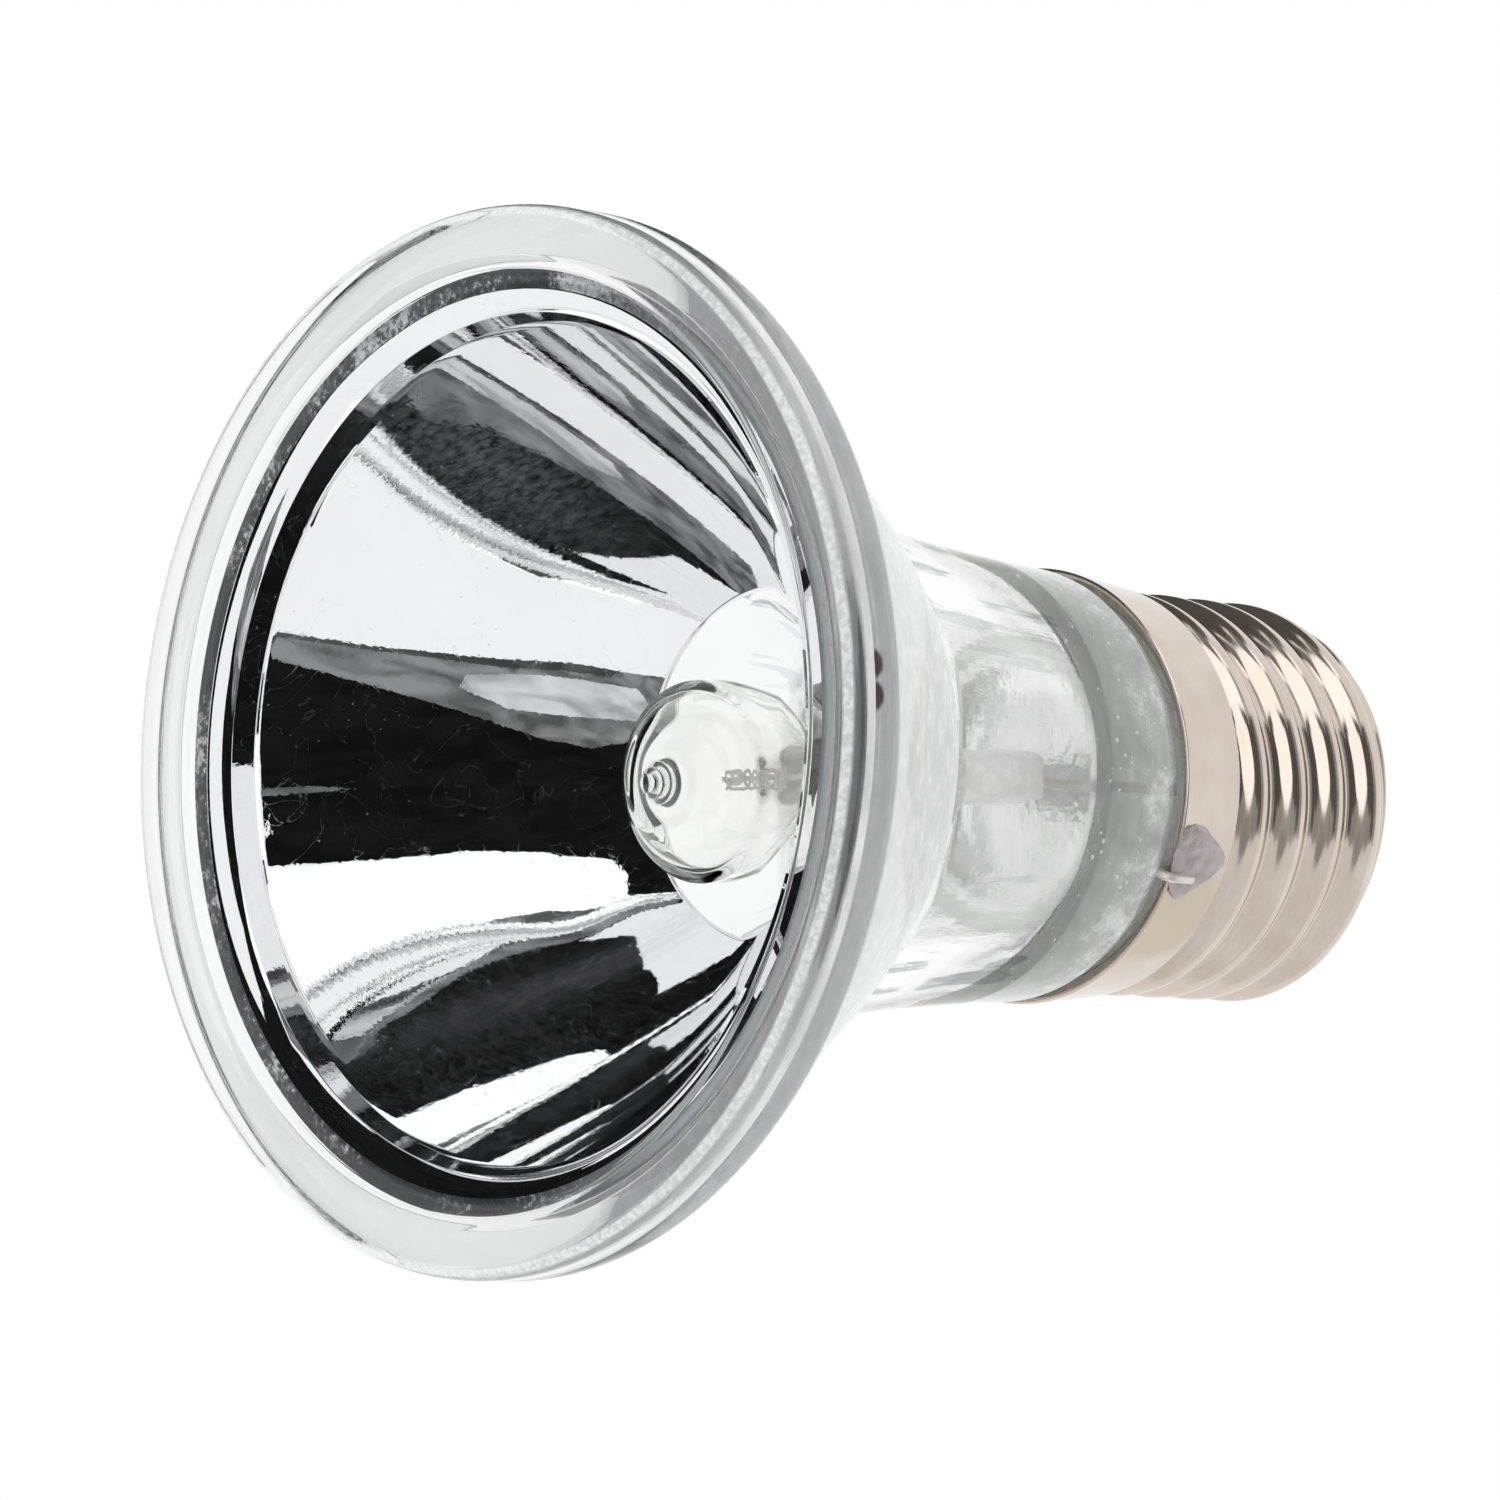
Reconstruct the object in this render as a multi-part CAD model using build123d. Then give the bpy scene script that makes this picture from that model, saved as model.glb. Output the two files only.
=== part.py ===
from build123d import *
import math
import os

# A clear-glass reflector heat bulb with a screw cap, standing on its lens.
# Z = 0 is the plane of the lens rim and +Z runs up the lamp's axis to the cap.
# Lengths are in millimetres and angles in degrees.

# Front lens: a pressed glass disc whose rim stands proud of its window
rim_radius = 32.0
lens_thickness = 2.2
lens_edge_round = 1.0
window_margin = 3.6
window_recess = 0.45
window_flare = 0.6

# Seal between the lens and the reflector's flange
seal_thickness = 0.15
seal_inset = 0.5

# Reflector: a pressed glass bowl and neck in one piece, with a parabolic inside
flange_thickness = 2.0
flange_round = 0.8
seam_chamfer = 0.25
flange_width = 3.4
land_width = 1.4
land_depth = 0.65
land_lip = 1.0
mirror_setback = 1.45
mirror_back_radius = 11.0
focal_length = 6.5
bowl_wall = 3.0
neck_root_mirror_radius = 14.0
neck_waist = 0.3
neck_length = 20.7
shoulder_length = 3.0
neck_step = 1.15
neck_wall = 4.15
base_length = 3.6
base_chamfer = 0.9
base_thickness = 6.0
cavity_round = 5.0

# Mirror: aluminium laid on the inside of the bowl
coating_gap = 0.04
coating_thickness = 0.12

# Quartz capsule, set a little crooked in the neck
capsule_lean = 4.5
capsule_radius = 6.25
capsule_wall = 0.9
capsule_dome = 3.0
capsule_body_length = 1.5
capsule_taper_length = 12.5
capsule_middle_thickness = 8.8
capsule_cavity_share = 0.75
pinch_length = 7.5
pinch_width = 12.0
pinch_thickness = 3.4
pinch_round = 0.8
pinch_standoff = 5.0
exhaust_tip_length = 1.7
exhaust_tip_radius = 1.5

# Filament, its legs, the seal foils and the two leads
coil_radius = 0.6
coil_pitch = 1.0
coil_length = 6.0
coil_wire_radius = 0.12
coil_setback = 5.5
leg_radius = 0.2
leg_reach = 1.2
leg_bend_radius = 0.8
foil_length = 4.0
foil_width = 2.0
foil_thickness = 0.1
lead_radius = 0.3
lead_spacing = 8.0
lead_insert = 1.0
lead_bend_radius = 0.7
embed_gap = 0.05
wire_sides = 6

# Screw cap: a rolled shell with a round-profile thread, right-handed
skirt_flare = 0.7
skirt_rise = 0.15
skirt_length = 6.0
skirt_overlap = 4.5
skirt_chamfer = 0.5
shell_wall = 0.3
shell_length = 21.3
thread_crest_radius = 13.15
thread_pitch = 3.629
thread_depth = 1.095
first_crest_height = 8.1
root_arc_start = 25.0
root_arc_cut = 32.0
ridge_bury = 0.35
end_taper = 2.4
lip_width = 1.05
lip_thickness = 0.6

# Cap insulator, centre contact and the cement that holds the cap
insulator_flange = 1.2
insulator_height = 4.6
insulator_gap = 0.05
contact_radius = 5.2
contact_thickness = 0.8
contact_shoulder = 0.35
contact_chamfer = 0.5
cement_thickness = 0.2
cement_gap = 0.04
cement_length = 3.4

# Solder on the centre contact and on the skirt, with the groove of the side lead
solder_dome_radius = 3.0
solder_dome_height = 0.8
solder_gap = 0.03
side_solder_angle = 20.0
side_solder_width = 6.2
side_solder_height = 4.4
side_solder_thickness = 1.0
hook_angle = 23.7
hook_length = 2.2
groove_width = 0.9
groove_floor_gap = 0.1

# Radii and heights that follow from the sizes above
land_outer_radius = rim_radius - flange_width
land_inner_radius = land_outer_radius - land_width
mirror_front_radius = land_inner_radius - land_lip
root_radius = thread_crest_radius - thread_depth
skirt_end_radius = thread_crest_radius + skirt_rise
skirt_edge_radius = skirt_end_radius + skirt_flare
bore_radius = root_radius - shell_wall
lip_radius = root_radius - lip_width
base_radius = skirt_end_radius - shell_wall - cement_thickness
neck_end_radius = base_radius + neck_step
cavity_end_radius = neck_end_radius - neck_wall
mating_height = lens_thickness + seal_thickness
flange_back = mating_height + flange_thickness
land_height = mating_height + land_depth
mirror_front_height = mating_height + mirror_setback
vertex_height = mirror_front_height + mirror_front_radius**2 / (4 * focal_length)


def bowl_point(radius, inset):
    """A point on the mirror's parabola, moved square to it: inset is positive towards the axis."""
    height = vertex_height - radius**2 / (4 * focal_length)
    slant = math.hypot(radius, 2 * focal_length)
    return (radius - inset * radius / slant, height - inset * 2 * focal_length / slant)


def bowl_curve(first_radius, last_radius, inset):
    """A smooth curve along the parabola between two mirror radii."""
    steps = 5
    radii = [first_radius + (last_radius - first_radius) * step / steps for step in range(steps + 1)]
    return Spline([bowl_point(radius, inset) for radius in radii])


def turned(*edges):
    """The solid turned about Z from an outline of radius and height."""
    outline = make_face(Curve() + list(edges))
    return revolve(Plane.XZ * outline, Axis.Z)


def turned_polygon(*points):
    """The solid turned about Z from a straight-sided outline of radius and height."""
    return turned(Polyline(*points, close=True))


def wire(path, radius):
    """A thin wire along a path, with a few flats round it to keep it light."""
    section = Plane(origin=path @ 0, z_dir=path % 0) * RegularPolygon(radius, wire_sides)
    return sweep(section, path=path)


neck_root = bowl_point(neck_root_mirror_radius, -bowl_wall)
neck_end_height = neck_root[1] + neck_length
base_start_height = neck_end_height + shoulder_length
base_end_height = base_start_height + base_length
cavity_floor_height = base_end_height - base_thickness
mirror_back_height = bowl_point(mirror_back_radius, 0)[1]
skirt_edge_height = base_end_height - skirt_overlap
skirt_end_height = skirt_edge_height + skirt_length
shell_end_height = skirt_edge_height + shell_length
contact_height = shell_end_height + insulator_height


def skirt_radius(height):
    """Outer radius of the flared skirt at a height."""
    share = (height - skirt_edge_height) / skirt_length
    return skirt_edge_radius + (skirt_end_radius - skirt_edge_radius) * share


def make_front_lens():
    """A disc with a rounded edge and a window that lies back from its rim."""
    window_radius = rim_radius - window_margin
    window_edge = window_radius + window_flare
    return turned(
        Line((0, window_recess), (window_radius, window_recess)),
        Line((window_radius, window_recess), (window_edge, 0)),
        Line((window_edge, 0), (rim_radius - lens_edge_round, 0)),
        RadiusArc((rim_radius - lens_edge_round, 0), (rim_radius, lens_edge_round), -lens_edge_round),
        Polyline(
            (rim_radius, lens_edge_round),
            (rim_radius, lens_thickness - seam_chamfer),
            (rim_radius - seam_chamfer, lens_thickness),
            (0, lens_thickness),
            (0, window_recess),
        ),
    )


def make_rim_seal():
    """The thin ring of seal that joins the lens to the flange."""
    outer = rim_radius - seal_inset
    inner = land_outer_radius + seal_inset
    return turned_polygon(
        (inner, lens_thickness), (outer, lens_thickness), (outer, mating_height), (inner, mating_height)
    )


def lead_foot(side):
    """Where a lead meets its foil in the pinch, from where it stands upright."""
    return (capsule_place * Pos(0, side * lead_spacing / 2, foil_end + embed_gap)).position


def groove_tool(width, floor_radius):
    """A radial slot for the side lead, from the neck's shoulder to beyond the base."""
    low = skirt_edge_height - 2 * lead_radius - side_lead_edge_gap() - groove_floor_gap
    depth = skirt_edge_radius - floor_radius
    length = base_end_height + base_thickness - low
    slot = Box(depth, width, length, align=(Align.MIN, Align.CENTER, Align.MIN))
    return Rot(0, 0, hook_angle - 90) * Pos(floor_radius, 0, low) * slot


def side_lead_edge_gap():
    """The space between the side lead and the skirt's edge, where the lead hooks round it."""
    return lead_radius


def side_lead_radius():
    """The side lead's distance from the axis inside the skirt."""
    return skirt_radius(base_end_height) - shell_wall - groove_floor_gap - lead_radius


def make_reflector_body():
    """Flange, parabolic bowl, tapering neck and solid base, with the lead holes and the lead groove."""
    neck_middle = ((neck_root[0] + neck_end_radius) / 2 - neck_waist, (neck_root[1] + neck_end_height) / 2)
    land_outer = (land_outer_radius, land_height)
    land_inner = (land_inner_radius, land_height)
    flange_edge = rim_radius - flange_round
    cavity_corner = (cavity_end_radius, cavity_floor_height - cavity_round)
    cavity_floor = (cavity_end_radius - cavity_round, cavity_floor_height)
    body = turned(
        Polyline(
            bowl_point(mirror_front_radius, 0),
            land_inner,
            land_outer,
            (land_outer_radius, mating_height),
            (rim_radius - seam_chamfer, mating_height),
            (rim_radius, mating_height + seam_chamfer),
            (rim_radius, flange_back - flange_round),
        ),
        RadiusArc((rim_radius, flange_back - flange_round), (flange_edge, flange_back), -flange_round),
        Line((flange_edge, flange_back), bowl_point(mirror_front_radius, -bowl_wall)),
        bowl_curve(mirror_front_radius, neck_root_mirror_radius, -bowl_wall),
        ThreePointArc(neck_root, neck_middle, (neck_end_radius, neck_end_height)),
        Spline(
            (neck_end_radius, neck_end_height),
            (base_radius, base_start_height),
            tangents=[(0, 1), (0, 1)],
        ),
        Polyline(
            (base_radius, base_start_height),
            (base_radius, base_end_height - base_chamfer),
            (base_radius - base_chamfer, base_end_height),
            (0, base_end_height),
            (0, cavity_floor_height),
            cavity_floor,
        ),
        RadiusArc(cavity_floor, cavity_corner, cavity_round),
        Line(cavity_corner, (mirror_back_radius, mirror_back_height)),
        bowl_curve(mirror_back_radius, mirror_front_radius, 0),
    )
    hole = Cylinder(lead_radius + embed_gap, 3 * base_thickness)
    for side in (-1, 1):
        body -= Pos(lead_foot(side).X, lead_foot(side).Y, base_end_height) * hole
    return body - groove_tool(groove_width, side_lead_radius() - lead_radius - groove_floor_gap)


def make_mirror_coating():
    """The thin bright layer over the land and the parabola."""
    face = coating_gap
    back = coating_gap + coating_thickness
    land_outer = land_outer_radius - back
    return turned(
        Polyline(
            bowl_point(mirror_front_radius, face),
            (land_inner_radius, land_height - face),
            (land_outer, land_height - face),
            (land_outer, land_height - back),
            (land_inner_radius, land_height - back),
            bowl_point(mirror_front_radius, back),
        ),
        bowl_curve(mirror_front_radius, mirror_back_radius, back),
        Line(bowl_point(mirror_back_radius, back), bowl_point(mirror_back_radius, face)),
        bowl_curve(mirror_back_radius, mirror_front_radius, face),
    )


# The capsule is drawn on its own axis, with Z = 0 at the middle of its pinch, and then set in the neck
capsule_place = Pos(0, 0, cavity_floor_height - pinch_standoff - pinch_length / 2) * Rot(0, -capsule_lean, 0)
pinch_start = -pinch_length / 2
taper_start = pinch_start - capsule_taper_length
dome_start = taper_start - capsule_body_length
coil_height = dome_start + coil_setback
foil_start = pinch_start + (pinch_length - lead_insert - foil_length) / 2
foil_end = foil_start + foil_length


def capsule_form(inset, taper_share):
    """The capsule's dome, short body and flattening taper, inset from its outside by a wall."""
    radius = capsule_radius - inset
    dome = capsule_dome - inset
    head = turned(
        EllipticalCenterArc((0, dome_start), radius, dome, start_angle=270, arc_size=90),
        Polyline((radius, dome_start), (radius, taper_start), (0, taper_start), (0, dome_start - dome)),
    )
    end_height = taper_start + capsule_taper_length * taper_share
    middle_height = (taper_start + end_height) / 2
    sections = [
        Pos(0, 0, taper_start) * Circle(radius),
        Pos(0, 0, middle_height) * Ellipse(capsule_middle_thickness / 2 - inset, radius),
        Pos(0, 0, end_height) * Ellipse(pinch_thickness / 2 - inset, pinch_width / 2 - inset),
    ]
    return head + loft(sections)


def pocket(wire_radius, length):
    """A round hole for a wire, a little wider than it, running up from Z = 0."""
    return Cylinder(wire_radius + embed_gap, length, align=(Align.CENTER, Align.CENTER, Align.MIN))


def make_capsule_envelope():
    """The quartz bulb with its exhaust tip, flattened to a pinch with pockets for the foils and wires."""
    tip_start = dome_start - capsule_dome
    tip_end = tip_start - exhaust_tip_length
    tip = turned_polygon(
        (0, tip_end),
        (exhaust_tip_radius / 4, tip_end),
        (exhaust_tip_radius / 2, tip_end + exhaust_tip_length / 4),
        (exhaust_tip_radius * 0.6, tip_start - exhaust_tip_length / 3),
        (exhaust_tip_radius, tip_start + capsule_wall / 2),
        (0, tip_start + capsule_wall / 2),
    )
    pinch_section = RectangleRounded(pinch_thickness, pinch_width, pinch_round)
    pinch = extrude(Pos(0, 0, pinch_start) * pinch_section, pinch_length)
    envelope = capsule_form(0, 1) + pinch + tip
    envelope -= capsule_form(capsule_wall, capsule_cavity_share)
    room = 2 * embed_gap
    foil_pocket = Box(foil_thickness + room, foil_width + room, foil_length + room)
    leg_low = coil_height + leg_bend_radius
    for side in (-1, 1):
        y = side * lead_spacing / 2
        envelope -= Pos(0, y, (foil_start + foil_end) / 2) * foil_pocket
        envelope -= Pos(0, y, leg_low) * pocket(leg_radius, foil_start - leg_low)
    envelope = capsule_place * envelope
    for side in (-1, 1):
        envelope -= Pos(lead_foot(side)) * Pos(0, 0, -embed_gap) * pocket(lead_radius, pinch_length)
    return envelope


def make_seal_foil(side):
    """A strip of metal foil sealed in the pinch between a filament leg and a lead."""
    strip = Box(foil_thickness, foil_width, foil_length)
    return capsule_place * Pos(0, side * lead_spacing / 2, (foil_start + foil_end) / 2) * strip


def make_filament_coil():
    """A close coil that lies across the capsule."""
    path = Helix(coil_pitch, coil_length, coil_radius)
    coil = wire(path, coil_wire_radius)
    return capsule_place * Pos(0, 0, coil_height) * Rot(-90, 0, 0) * Pos(0, 0, -coil_length / 2) * coil


def make_filament_leg(side):
    """The wire from a seal foil up into the end of the coil."""
    y = side * lead_spacing / 2
    path = FilletPolyline(
        (0, y, foil_start - embed_gap),
        (0, y, coil_height),
        (0, side * (coil_length / 2 - leg_reach), coil_height),
        radius=leg_bend_radius,
    )
    return capsule_place * wire(path, leg_radius)


def side_lead_path():
    """From the pinch through the base, out to the groove, down it and round the skirt's edge."""
    direction = Vector(1, 0, 0).rotate(Axis.Z, hook_angle - 90)
    foot = lead_foot(-1)
    over_base = base_end_height + 2 * lead_bend_radius
    over_groove = base_end_height + lead_radius + 2 * groove_floor_gap
    below_edge = skirt_edge_height - side_lead_edge_gap() - lead_radius
    hook_radius = skirt_edge_radius + solder_gap + lead_radius
    in_groove = direction * side_lead_radius()
    on_skirt = direction * hook_radius
    return FilletPolyline(
        foot,
        (foot.X, foot.Y, over_base),
        (in_groove.X, in_groove.Y, over_groove),
        (in_groove.X, in_groove.Y, below_edge),
        (on_skirt.X, on_skirt.Y, below_edge),
        (on_skirt.X, on_skirt.Y, below_edge + hook_length),
        radius=lead_bend_radius,
    )


def make_side_lead_wire():
    """The lead that is soldered to the skirt."""
    return wire(side_lead_path(), lead_radius)


def make_centre_lead_wire():
    """The lead that runs up through the insulator to the centre contact."""
    foot = lead_foot(1)
    turn_low = base_end_height + 3 * lead_bend_radius
    turn_high = shell_end_height - lip_thickness - insulator_flange - 3 * lead_bend_radius
    path = FilletPolyline(
        foot,
        (foot.X, foot.Y, turn_low),
        (0, 0, turn_high),
        (0, 0, contact_height + contact_thickness + solder_dome_height / 3),
        radius=lead_bend_radius,
    )
    return wire(path, lead_radius)


def thread_ridge():
    """One helical ridge with a round crest that runs into round roots, buried a little in the shell."""
    arc_radius = ((thread_pitch / 4) ** 2 + (thread_depth / 2) ** 2) / thread_depth
    low_angle = math.radians(root_arc_start)
    low_radius = root_radius + arc_radius * (1 - math.cos(low_angle))
    low = (low_radius, thread_pitch / 2 - arc_radius * math.sin(low_angle))
    middle = (root_radius + thread_depth / 2, thread_pitch / 4)
    foot = root_radius - ridge_bury
    section = make_face(
        Curve()
        + [
            Line((foot, -low[1]), (low[0], -low[1])),
            RadiusArc((low[0], -low[1]), (middle[0], -middle[1]), -arc_radius),
            RadiusArc((middle[0], -middle[1]), (thread_crest_radius, 0), arc_radius),
            RadiusArc((thread_crest_radius, 0), middle, arc_radius),
            RadiusArc(middle, low, -arc_radius),
            Line(low, (foot, low[1])),
            Line((foot, low[1]), (foot, -low[1])),
        ]
    )
    path = Helix(thread_pitch, shell_length, thread_crest_radius)
    ridge = sweep(Plane.XZ * section, path=path, is_frenet=True)
    return Pos(0, 0, skirt_edge_height + first_crest_height - 2 * thread_pitch) * Rot(0, 0, -90) * ridge


def threaded_sleeve():
    """A plain core with the ridge round it, cut off inside the skirt and rounded at the far end."""
    arc_radius = ((thread_pitch / 4) ** 2 + (thread_depth / 2) ** 2) / thread_depth
    core_radius = root_radius + arc_radius * (1 - math.cos(math.radians(root_arc_cut)))
    core = Cylinder(core_radius, shell_length, align=(Align.CENTER, Align.CENTER, Align.MIN))
    low = skirt_end_height - 2 * skirt_chamfer
    outside = thread_crest_radius + shell_wall
    envelope = turned_polygon(
        (0, low),
        (outside, low),
        (outside, shell_end_height - end_taper),
        (core_radius, shell_end_height - end_taper / 3),
        (lip_radius + shell_wall, shell_end_height),
        (0, shell_end_height),
    )
    return (Pos(0, 0, skirt_edge_height) * core + thread_ridge()) & envelope


def make_screw_shell():
    """The rolled shell: flared skirt, threaded sleeve and end lip, bored to the thickness of its wall."""
    skirt = turned_polygon(
        (0, skirt_edge_height),
        (skirt_edge_radius, skirt_edge_height),
        (skirt_radius(skirt_end_height - skirt_chamfer), skirt_end_height - skirt_chamfer),
        (skirt_end_radius - skirt_chamfer, skirt_end_height),
        (0, skirt_end_height),
    )
    step_height = skirt_end_height - shell_wall
    bore = turned_polygon(
        (0, skirt_edge_height),
        (skirt_edge_radius - shell_wall, skirt_edge_height),
        (skirt_radius(step_height - skirt_chamfer) - shell_wall, step_height - skirt_chamfer),
        (skirt_end_radius - shell_wall - skirt_chamfer, step_height),
        (bore_radius, step_height),
        (bore_radius, shell_end_height - lip_thickness),
        (lip_radius, shell_end_height - lip_thickness),
        (lip_radius, shell_end_height),
        (0, shell_end_height),
    )
    return skirt + threaded_sleeve() - bore


def make_cap_cement():
    """The ring of cement between the glass base and the skirt, open where the side lead passes."""
    inner = base_radius + cement_gap
    low = base_end_height - cement_length
    ring = turned_polygon(
        (inner, low),
        (skirt_radius(low) - shell_wall - cement_gap, low),
        (skirt_radius(base_end_height) - shell_wall - cement_gap, base_end_height),
        (inner, base_end_height),
    )
    return ring - groove_tool(groove_width, side_lead_radius() - lead_radius - groove_floor_gap)


def make_cap_insulator():
    """The glass button that closes the shell and carries the contact, with a hole for the lead."""
    flange_radius = bore_radius - insulator_gap
    under_lip = shell_end_height - lip_thickness - insulator_gap
    foot = under_lip - insulator_flange
    hole_radius = lead_radius + 2 * insulator_gap
    return turned_polygon(
        (hole_radius, foot),
        (flange_radius, foot),
        (flange_radius, under_lip),
        (lip_radius - insulator_gap, under_lip),
        (lip_radius - insulator_gap, shell_end_height + lip_thickness),
        (contact_radius + contact_shoulder, contact_height),
        (hole_radius, contact_height),
    )


def make_centre_contact():
    """The round plate on the insulator, with a turned-down edge and a hole for the lead."""
    hole_radius = lead_radius + 2 * insulator_gap
    top = contact_height + contact_thickness
    return turned_polygon(
        (hole_radius, contact_height),
        (contact_radius, contact_height),
        (contact_radius, top - contact_chamfer),
        (contact_radius - contact_chamfer, top),
        (hole_radius, top),
    )


def make_centre_solder():
    """The low dome of solder that joins the centre lead to the contact."""
    low = contact_height + contact_thickness
    pocket_radius = lead_radius + solder_gap
    pocket_top = low + solder_dome_height / 3 + solder_gap
    dome_radius = (solder_dome_radius**2 + solder_dome_height**2) / (2 * solder_dome_height)
    return turned(
        RadiusArc((solder_dome_radius, low), (0, low + solder_dome_height), -dome_radius),
        Polyline(
            (0, low + solder_dome_height),
            (0, pocket_top),
            (pocket_radius, pocket_top),
            (pocket_radius, low),
            (solder_dome_radius, low),
        ),
    )


def make_side_solder():
    """The drop of solder over the side lead's hook, shaped to the flared skirt."""
    drop = scale(Sphere(0.5), by=(2 * side_solder_thickness, side_solder_width, side_solder_height))
    middle_height = skirt_edge_height + side_solder_height / 2
    drop = Rot(0, 0, side_solder_angle - 90) * Pos(skirt_radius(middle_height), 0, middle_height) * drop
    low = skirt_edge_height - side_solder_height
    high = skirt_edge_height + 2 * side_solder_height
    skirt = turned_polygon(
        (0, low),
        (skirt_radius(low) + solder_gap, low),
        (skirt_radius(high) + solder_gap, high),
        (0, high),
    )
    return drop - skirt - wire(side_lead_path(), lead_radius + solder_gap)


pieces = {
    "front_lens": make_front_lens(),
    "rim_seal": make_rim_seal(),
    "reflector_body": make_reflector_body(),
    "mirror_coating": make_mirror_coating(),
    "capsule_envelope": make_capsule_envelope(),
    "filament_coil": make_filament_coil(),
    "filament_leg_side": make_filament_leg(-1),
    "filament_leg_centre": make_filament_leg(1),
    "seal_foil_side": make_seal_foil(-1),
    "seal_foil_centre": make_seal_foil(1),
    "side_lead_wire": make_side_lead_wire(),
    "centre_lead_wire": make_centre_lead_wire(),
    "screw_shell": make_screw_shell(),
    "cap_cement": make_cap_cement(),
    "cap_insulator": make_cap_insulator(),
    "centre_contact": make_centre_contact(),
    "centre_solder": make_centre_solder(),
    "side_solder": make_side_solder(),
}

os.makedirs("parts", exist_ok=True)
for name, piece in pieces.items():
    export_step(piece, f"parts/{name}.step")
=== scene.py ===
import logging
import math
import random
from dataclasses import dataclass
from enum import Enum
from functools import partial
from typing import Any, Callable, Iterable, Optional, Sequence, Union

import bmesh
import bpy
from mathutils import Matrix, Vector, noise


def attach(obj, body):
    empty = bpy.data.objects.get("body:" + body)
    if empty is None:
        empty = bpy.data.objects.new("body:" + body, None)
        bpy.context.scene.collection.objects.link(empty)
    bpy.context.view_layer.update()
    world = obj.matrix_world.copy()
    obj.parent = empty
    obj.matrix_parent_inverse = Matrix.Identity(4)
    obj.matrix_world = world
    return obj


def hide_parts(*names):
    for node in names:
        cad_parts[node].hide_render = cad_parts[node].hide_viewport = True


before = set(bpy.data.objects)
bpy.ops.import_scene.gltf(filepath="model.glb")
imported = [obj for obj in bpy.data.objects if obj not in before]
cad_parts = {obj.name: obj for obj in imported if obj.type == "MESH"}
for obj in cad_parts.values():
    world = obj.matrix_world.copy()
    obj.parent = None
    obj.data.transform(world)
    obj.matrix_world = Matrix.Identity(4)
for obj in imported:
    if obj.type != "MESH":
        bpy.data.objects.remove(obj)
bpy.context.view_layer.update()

MM = 0.001
log = logging.getLogger("heat_bulb")

Point = tuple[float, float]
Place = tuple[float, float, float]
Colour = tuple[float, float, float, float]
Node = bpy.types.Node
Tree = bpy.types.NodeTree
Socket = bpy.types.NodeSocket
Material = bpy.types.Material
Adder = Callable[..., Node]
Mesh = bmesh.types.BMesh
Face = bmesh.types.BMFace


class Turn(Enum):
    """How finely a turned piece is divided round the lamp's axis."""

    FINE = 256
    MEDIUM = 192
    COARSE = 96


class RayKind(Enum):
    """The kinds of ray a stage card can be hidden from."""

    CAMERA = "visible_camera"
    SHADOW = "visible_shadow"
    DIFFUSE = "visible_diffuse"
    TRANSMISSION = "visible_transmission"


class Aim(Enum):
    """What a card is hung for, as the point in millimetres from which its corners are seen.

    The mirror and the glass see the cards for the bulb. Only the metal of the cap sees those for the cap.
    """

    BULB = (0.0, 0.0, 25.0)
    CAP = (0.0, -6.0, 60.0)


class Tone(Enum):
    """Brightness of a card in a reflection, seen through glass, and how far it drifts."""

    DARK = (0.008, 0.8, 0.3)
    DIM = (0.08, 0.8, 0.3)
    BROWN = (0.3, 0.8, 0.2)
    GREY = (0.2, 0.85, 0.5)
    PALE = (0.58, 0.92, 0.28)
    CREAM = (0.85, 0.9, 0.05)
    LAMP = (1.3, 1.0, 0.0)
    STRIP = (1.7, 1.0, 0.0)


def linear(hex_colour: str) -> Colour:
    """Turns an sRGB hex colour into linear light.

    Args:
        hex_colour: Colour such as "#d8cdc2".

    Returns:
        Linear red, green, blue and alpha.
    """
    digits = hex_colour.lstrip("#")
    parts = [int(digits[i : i + 2], 16) / 255 for i in (0, 2, 4)]
    red, green, blue = [p / 12.92 if p <= 0.04045 else ((p + 0.055) / 1.055) ** 2.4 for p in parts]
    return (red, green, blue, 1.0)


def grey(value: float) -> Colour:
    """A neutral linear grey."""
    return (value, value, value, 1.0)


def per_mm(size_mm: float) -> float:
    """Texture scale that gives a pattern features of this size in millimetres."""
    return 1.0 / (size_mm * MM)


def add_node(
    tree: Tree,
    kind: str,
    inputs: Optional[dict[Union[str, int], Any]] = None,
    stops: Sequence[tuple[float, Colour]] = (),
    **settings: Any,
) -> Node:
    """Adds one node with its settings, its values and its links.

    Args:
        tree: Tree that the node goes into.
        kind: Blender's name of the node type, without the word ShaderNode before it.
        inputs: Input name or index to a value, or to a socket or a node that is linked to it.
        stops: A colour ramp's positions with their linear colours.
        settings: Properties of the node itself.

    Returns:
        The new node.
    """
    node = tree.nodes.new("ShaderNode" + kind)
    for name, value in settings.items():
        setattr(node, name, value)
    for name, value in (inputs or {}).items():
        if isinstance(value, Node):
            value = next(socket for socket in value.outputs if socket.enabled)
        if isinstance(value, Socket):
            tree.links.new(value, node.inputs[name])
        else:
            node.inputs[name].default_value = value
    if stops:
        elements = node.color_ramp.elements
        while len(elements) < len(stops):
            elements.new(1.0)
        for element, (position, colour) in zip(elements, stops):
            element.position = position
            element.color = colour
    return node


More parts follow.
